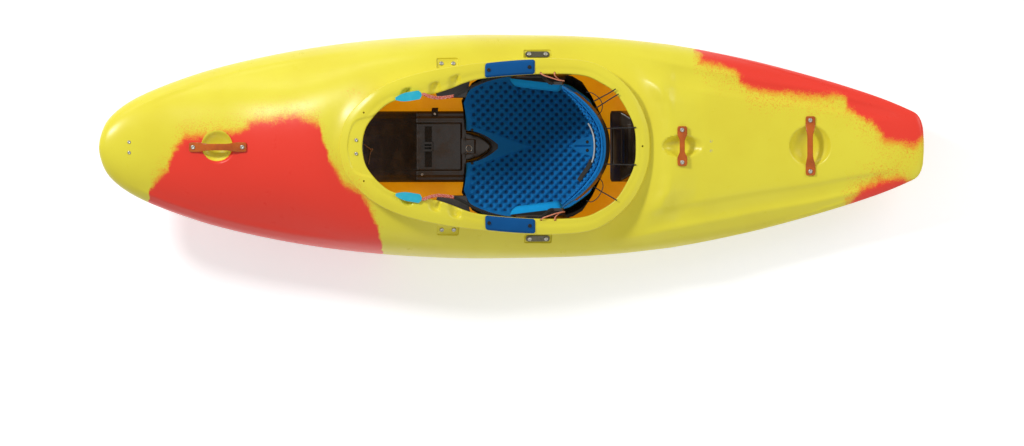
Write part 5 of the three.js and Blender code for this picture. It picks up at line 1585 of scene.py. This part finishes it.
# Operators
class KAYAK_OT_stage(bpy.types.Operator):
    """Sets the camera, the lamps, the world and a plain pale floor"""

    bl_idname = "kayak.stage"
    bl_label = "Stage"

    def execute(self, context):
        scene = context.scene
        self.camera(scene, scene.kayak_stage)
        for row in LAMPS:
            self.lamp(scene, *row)
        self.world(scene)
        self.floor()
        scene.view_settings.view_transform = "Standard"
        return {"FINISHED"}

    def camera(self, scene, sizes):
        lens = bpy.data.cameras.new("picture_camera")
        lens.type = "ORTHO"
        lens.ortho_scale = CAMERA["wide"] * sizes.pixel
        lens.clip_end = CAMERA["far"]
        camera = bpy.data.objects.new("picture_camera", lens)
        scene.collection.objects.link(camera)
        right = Vector((math.cos(sizes.tilt), 0, -math.sin(sizes.tilt)))
        back = Vector((math.sin(sizes.tilt), 0, math.cos(sizes.tilt)))
        place = Matrix.Translation(Vector(CAMERA["aim"]) + back * CAMERA["away"])
        turn = Matrix((right, Vector((0, 1, 0)), back)).transposed().to_4x4()
        camera.matrix_world = place @ turn @ Matrix.Rotation(math.radians(CAMERA["roll"]), 4, "Z")
        scene.camera = camera

    def lamp(self, scene, name, place, aim, sizes, power):
        source = bpy.data.lights.new(name, "AREA")
        source.shape = "DISK" if len(sizes) == 1 else "RECTANGLE"
        source.size, source.size_y, source.energy = sizes[0], sizes[-1], power
        lamp = bpy.data.objects.new(name, source)
        lamp.location = place
        lamp.rotation_euler = (Vector(aim) - lamp.location).to_track_quat("-Z", "Y").to_euler()
        scene.collection.objects.link(lamp)

    def world(self, scene):
        """White where it is seen or mirrored, dimmer as light"""
        sky = bpy.data.worlds.new("soft_sky")
        sky.use_nodes = True
        sky.node_tree.nodes.clear()
        n = Nodes(sky.node_tree)
        path = n.node("ShaderNodeLightPath")
        rays = [n.out(path, f"Is {kind} Ray") for kind in ("Camera", "Transmission", "Glossy")]
        seen = n.most(n.most(rays[0], rays[1]), rays[2])
        dim, white = (
            n.out(n.node("ShaderNodeBackground", {"Color": WHITE, "Strength": strength}))
            for strength in (0.36, 1)
        )
        mix = n.node("ShaderNodeMixShader", {0: seen, 1: dim, 2: white})
        n.node("ShaderNodeOutputWorld", {0: n.out(mix)})
        scene.world = sky

    def floor(self):
        """A pale floor that is brighter in the picture than it lights"""
        r = Recipe("pale_floor", roughness=0.9)
        tone = r.fade(r.noise(1.5, 2), 0.2, 0.8) * 0.02
        r.feed("Base Color", r.mix(tone, (0.86, 0.86, 0.86, 1), (0.8, 0.8, 0.8, 1)))
        path = r.node("ShaderNodeLightPath")
        seen = r.most(r.out(path, "Is Camera Ray"), r.out(path, "Is Glossy Ray"))
        plain = r.out(r.shader)
        glow = r.out(r.node("ShaderNodeEmission", {"Color": WHITE, "Strength": 0.45}))
        added = r.out(r.node("ShaderNodeAddShader", {0: plain, 1: glow}))
        mix = r.node("ShaderNodeMixShader", {0: seen, 1: plain, 2: added})
        r.tree.links.new(mix.outputs[0], r.tree.nodes["Material Output"].inputs[0])
        corners = [(x, y, -0.0005) for x, y in ((-9, -9), (9, -9), (9, 9), (-9, 9))]
        ground = raw_object("floor", (corners, [[0, 1, 2, 3]]), r.material)


class KAYAK_OT_shell(bpy.types.Operator):
    """Makes the moulded shell with its coaming, dishes, pockets and finger grips"""

    bl_idname = "kayak.shell"
    bl_label = "Shell and coaming"

    def execute(self, context):
        sizes = context.scene.kayak_shell
        zones = [(boat_x(along), rx + 0.012, 2.2) for along, rx, _, _ in DISHES.values()]
        rows = even_rows(0, LAST_ROW, sizes.rings, zones)
        turns = even_turns(deck_point, sizes.around, 1.2), even_turns(side_point, MESH["side"], 0)
        outer = loft(shaped(section_rings(rows, 0, *turns), 0))
        rows = even_rows(*CAVITY_ROWS, MESH["cavity_rings"], zones)
        turns = (
            even_turns(deck_point, MESH["cavity_deck"], 1.0),
            even_turns(side_point, MESH["cavity_side"], 0),
        )
        inner = loft(shaped(section_rings(rows, WALL, *turns), WALL))
        shell = closed_object("kayak_shell", outer, "shell")
        cut(shell, "mouth_tool", mouth_body(MESH["mouth"]), "shell")
        cut(shell, "coaming_tool", coaming_body(MESH["coaming"]), "shell", "UNION")
        cut(shell, "cavity_tool", inner, "inside")
        pockets = [pocket_body(kind, side) for kind in POCKETS for side in (-1, 1)]
        cut(shell, "pocket_tool", together(*pockets), "shell")
        holes = [(x, side * y, z, CORD_HOLE) for x, y, z in CORD_HOLES for side in (-1, 1)]
        holes += [(x, y, rim_top(x), SCREW_HOLE) for x, y in SCREW_HOLES]
        pins = [tube([(x, y, z - down), (x, y, z + up)], radius, 14) for x, y, z, (radius, down, up) in holes]
        cut(shell, "hole_tool", together(*pins), "shell")
        placed(shaded(shell, 42), "hull", ["hull_shell"])
        return {"FINISHED"}


class KAYAK_OT_foam(bpy.types.Operator):
    """Makes the seat pad, the hip pads, the rim pads and the footrest's pad"""

    bl_idname = "kayak.foam"
    bl_label = "Foam pads"

    def execute(self, context):
        sizes = context.scene.kayak_foam
        pad = closed_object("seat_foam", seat_pad_body(sizes.pitch, sizes.bump, sizes.cell), "seat")
        cut(pad, "notch_tool", notch_body(), "seat")
        spots = np.zeros(len(pad.data.vertices) * 3)
        pad.data.vertices.foreach_get("co", spots)
        spots = spots.reshape(-1, 3)
        marked(pad, seat_dimples(spots[:, 0], spots[:, 1], sizes.pitch))
        placed(shaded(pad, 50), "seat", ["seat_pad"])
        for word, side in SIDES:
            hip = piece(f"hip_foam_{word}", hip_pad_body(side), "hip", "seat", [f"hip_pad_{word}"], 60)
            rim = piece(f"rim_rubber_{word}", rim_pad_body(side), "rubber", "hull", [f"rim_pad_{word}"], 50)
        foot = piece("footrest_foam", footrest_pad_body(), "foam", "footrest", ["footrest_pad"], 50)
        return {"FINISHED"}


class KAYAK_OT_pillars(bpy.types.Operator):
    """Makes the front and rear pillars with their ribs, recesses and steps"""

    bl_idname = "kayak.pillars"
    bl_label = "Pillars"

    def execute(self, context):
        front = together(front_pillar_body(), pillar_foot_body())
        piece("front_pillar_moulding", front, "pillar", "hull", ["front_pillar"], 35)
        piece("rear_pillar_moulding", rear_pillar_body(), "pillar", "hull", ["rear_pillar"], 35)
        piece("strap_tail", strap_tail_body(), "webbing", "hull")
        turn, radius = np.linspace(0, 2 * np.pi, 49), RING["radius"]
        circle = xyz(RING["x"] + radius * np.cos(turn), RING["y"] + radius * np.sin(turn), RING["z"])
        piece("pillar_ring", tube(circle, RING["wire"], 8), "steel", "hull")
        return {"FINISHED"}


class KAYAK_OT_backband(bpy.types.Operator):
    """Makes the backband's two foam layers, a pale strip on its front painted as a highlight, and its strap
    """

    bl_idname = "kayak.backband"
    bl_label = "Backband"

    def execute(self, context):
        pitch = context.scene.kayak_foam.pitch
        layers, pits = zip(*(band_layer(front, BAND["end"], pitch) for front in (False, True)))
        band = piece("backband_foam", together(*layers), "seat", "backband", ["backband_pad"], 50)
        marked(band, np.concatenate(pits))
        for name, kind, sizes in BAND_STRIPS:
            piece(name, band_strip(*sizes), kind, "backband")
        return {"FINISHED"}


class KAYAK_OT_holds(bpy.types.Operator):
    """Makes the two hand holds, the security bar and the hangers' outer plates"""

    bl_idname = "kayak.holds"
    bl_label = "Hand holds"

    def execute(self, context):
        for name, *sizes in BARS:
            piece(f"{name}_moulding", bar_body(name, *sizes), "handle", "hull", [name], 50)
        for word, _ in SIDES:
            piece(f"hanger_washer_{word}", plate_body(word), "grey", "hull", [f"hanger_plate_{word}"], 40)
        return {"FINISHED"}


class KAYAK_OT_cords(bpy.types.Operator):
    """Makes the chained pull cords, the backband's cords and the elastic lines"""

    bl_idname = "kayak.cords"
    bl_label = "Cords"

    def execute(self, context):
        for word, side in SIDES:
            path = route_points(CHAIN_ROUTE, 300, side)
            chain = piece(f"chained_cord_{word}", chained_cord(path), "red_cord", f"pull_{word}",
                          [f"pull_cord_{word}"], 60)
            path = route_points(BAND_CORD_ROUTE, 120, side)
            self.line(f"band_cord_{word}", path, "band_cord", "peach_cord", [f"backband_cord_{word}"],
                      *self.holds(BAND_CORD_HOLDS, side))
            path = route_points(REAR_LINE_ROUTE, 60, side)
            self.line(f"elastic_line_{word}", path, "rear_line", "black_cord", [f"rear_elastic_{word}"],
                      *self.holds(REAR_LINE_HOLDS, side))
        for number, route in enumerate(LOOP_ROUTES, 1):
            path = route_points(route, 60)
            self.line(f"elastic_loop_{number}", path, "loop", "black_cord", (), ("backband", None))
        for number, route in enumerate(STAY_ROUTES, 1):
            path = route_points(route, 40)
            self.line(f"elastic_stay_{number}", path, "stay", "black_cord", (),
                      ("hull", tuple(path[-1])), ("band_ends", tuple(path[0])))
        tie = laid_on("front_pillar_moulding", np.array(TIE_LINE) * MM, TIE["lift"])
        self.line("tie_cord", catmull(tie, 40), "tie", "tie_cord", (), ("hull", None))
        middle = laid_on("front_pillar_moulding", [np.array(TIE_LINE[2]) * MM], TIE["knot_lift"])[0]
        piece("tie_knot", knot(middle, TIE["knot"]), "tie_cord", "hull", (), 60)
        return {"FINISHED"}

    def holds(self, rows, side):
        return [(body, (x, side * y, z)) for body, (x, y, z) in rows]

    def line(self, name, path, size, kind, replaces, rides_on, then=None):
        """A plain cord on one body, or, for a cord that crosses a joint, one left on no body with its place
        baked into its mesh
        """
        radius = THICK[size]
        (first, start), sides = rides_on, 10 if replaces else 8
        cord = piece(name, tube(path, radius, sides), kind, None if then else first, replaces, 60)
        if then:
            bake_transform(cord)


class KAYAK_OT_bolts(bpy.types.Operator):
    """Sets a socket-head bolt at every fastener of the frame"""

    bl_idname = "kayak.bolts"
    bl_label = "Bolts"

    def execute(self, context):
        sizes = context.scene.kayak_bolts
        names = [name for name in sorted(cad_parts) if "_bolt_" in name]
        small = [name for name in names if name.startswith(("rim_bolt", "bow_deck", "rear_deck"))]
        large = [name for name in names if name not in small]
        for label, group, scale in (("bolts", large, 1.0), ("small_bolts", small, sizes.small)):
            frames = [bolt_frame(name) for name in group]
            self.spread(label, frames, sizes.head * scale, sizes.crown * scale, "steel", "hull", group)
        pads = []
        for side in (-1, 1):
            for x, y in PAD_BOLTS:
                slope = (rim_top(x + 0.01) - rim_top(x - 0.01)) / 0.02
                top = rim_top(x) + RIM_PAD["flange"] + RIM_PAD["high"] - crown_at(x, y)
                pads.append(((x, side * y, top), (-slope, 0, 1)))
        self.spread("rim_pad_bolts", pads, *PAD_HEAD, "dark_metal", "hull")
        up = (0, 0, 1)
        screws = [(place, up) for place in STRAP_SCREWS]
        self.spread("strap_screws", screws, *STRAP_HEAD, "steel", "hull")
        seat = [(self.on_seat(x, y), up) for x, y in SEAT_BOLTS]
        self.spread("seat_bolts", seat, *SEAT_HEAD, "dark_metal", "seat")
        return {"FINISHED"}

    def on_seat(self, x, y):
        """The top of the smooth foam at a place on the seat"""
        u = (x - SEAT_FRONT) / SEAT["long"]
        return x, y, seat_point(u, y / float(seat_half(u)), 0)[2] + SEAT["thick"]

    def spread(self, label, frames, head, crown, kind, rides_on, replaces=()):
        """Head and shank at each place, spread by nodes and made one mesh"""
        host = raw_object(label, ([place for place, _ in frames], []), finish(kind))
        ways = host.data.attributes.new("way", "FLOAT_VECTOR", "POINT")
        ways.data.foreach_set("vector", np.array([way for _, way in frames], np.float32).ravel())
        socket, shank = head * 0.46, head * 0.42
        profile = [
            (0.0004, crown * 0.4), (socket * 0.6, crown * 0.4), (socket, crown * 0.55),
            (socket, crown * 0.92), (head * 0.62, crown), (head * 0.86, crown * 0.82),
            (head * 0.97, crown * 0.5), (head, crown * 0.15), (head * 0.97, 0), (shank, 0),
            (shank, -SHANK), (0.0004, -SHANK),
        ]
        bolt = closed_object(label + "_head", turned(profile, 20), kind)
        tree = bpy.data.node_groups.new(label + "_spread", "GeometryNodeTree")
        add = tree.interface.new_socket
        add("Places", in_out="INPUT", socket_type="NodeSocketGeometry")
        bolt_socket = add("Bolt", in_out="INPUT", socket_type="NodeSocketObject")
        metal_socket = add("Metal", in_out="INPUT", socket_type="NodeSocketMaterial")
        add("Bolts", in_out="OUTPUT", socket_type="NodeSocketGeometry")
        n = Nodes(tree)
        given = n.node("NodeGroupInput")
        info = n.node("GeometryNodeObjectInfo", {"Object": n.out(given, "Bolt")})
        way = n.node("GeometryNodeInputNamedAttribute", {"Name": "way"}, data_type="FLOAT_VECTOR")
        turn = n.node("FunctionNodeAlignRotationToVector", {"Vector": n.out(way, "Attribute")}, axis="Z")
        copies = n.node("GeometryNodeInstanceOnPoints", {
            "Points": n.out(given, "Places"), "Instance": n.out(info, "Geometry"),
            "Rotation": n.out(turn, "Rotation"),
        })
        real = n.node("GeometryNodeRealizeInstances", {"Geometry": n.out(copies, "Instances")})
        metal = n.node("GeometryNodeSetMaterial", {
            "Geometry": n.out(real, "Geometry"), "Material": n.out(given, "Metal"),
        })
        n.node("NodeGroupOutput", {"Bolts": n.out(metal, "Geometry")})
        step = host.modifiers.new("spread", "NODES")
        step.node_group = tree
        step[bolt_socket.identifier] = bolt
        step[metal_socket.identifier] = finish(kind)
        settled(host)
        bpy.data.objects.remove(bolt)
        placed(shaded(host, 40), rides_on, replaces)


class KAYAK_OT_mouldings(bpy.types.Operator):
    """Gives the frame's own mouldings, plates, tabs and straps their finishes"""

    bl_idname = "kayak.mouldings"
    bl_label = "Mouldings"

    def execute(self, context):
        kinds = {
            "black": (
                "seat_pan", "hanger_bracket_left", "hanger_bracket_right", "backband_shell",
                "band_end_left", "band_end_right", "footrest_plate", "footrest_track_left",
                "footrest_track_right", "strap_buckle", "thigh_grip_left", "thigh_grip_right",
            ),
            "tab": ("pull_tab_left", "pull_tab_right"),
            "webbing": ("tray_strap",),
        }
        for kind, names in kinds.items():
            for name in names:
                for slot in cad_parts[name].material_slots:
                    slot.material = finish(kind)
        return {"FINISHED"}


class KAYAK_PT_panel(bpy.types.Panel):
    """Lists the kayak's sizes and the steps that make it"""

    bl_label = "Kayak"
    bl_idname = "KAYAK_PT_panel"
    bl_space_type = "VIEW_3D"
    bl_region_type = "UI"
    bl_category = "Kayak"

    def draw(self, context):
        for key in GROUPS:
            group, box = getattr(context.scene, key), self.layout.box()
            for name in group.__annotations__:
                box.prop(group, name)
        for operator in OPERATORS:
            self.layout.operator(operator.bl_idname)


OPERATORS = (
    KAYAK_OT_stage, KAYAK_OT_shell, KAYAK_OT_mouldings, KAYAK_OT_pillars, KAYAK_OT_foam, KAYAK_OT_backband,
    KAYAK_OT_holds, KAYAK_OT_cords, KAYAK_OT_bolts,
)
GROUPS = {
    "kayak_shell": KayakShellSizes, "kayak_foam": KayakFoamSizes, "kayak_bolts": KayakBoltSizes,
    "kayak_stage": KayakStageSizes,
}


def register():
    for kind in (*GROUPS.values(), *OPERATORS, KAYAK_PT_panel):
        bpy.utils.register_class(kind)
    for name, kind in GROUPS.items():
        setattr(bpy.types.Scene, name, PointerProperty(type=kind))


def unregister():
    for name in GROUPS:
        delattr(bpy.types.Scene, name)
    for kind in (KAYAK_PT_panel, *OPERATORS, *GROUPS.values()):
        bpy.utils.unregister_class(kind)


def main():
    register()
    for operator in OPERATORS:
        group, name = operator.bl_idname.split(".")
        getattr(getattr(bpy.ops, group), name)()


if __name__ == "__main__":
    main()
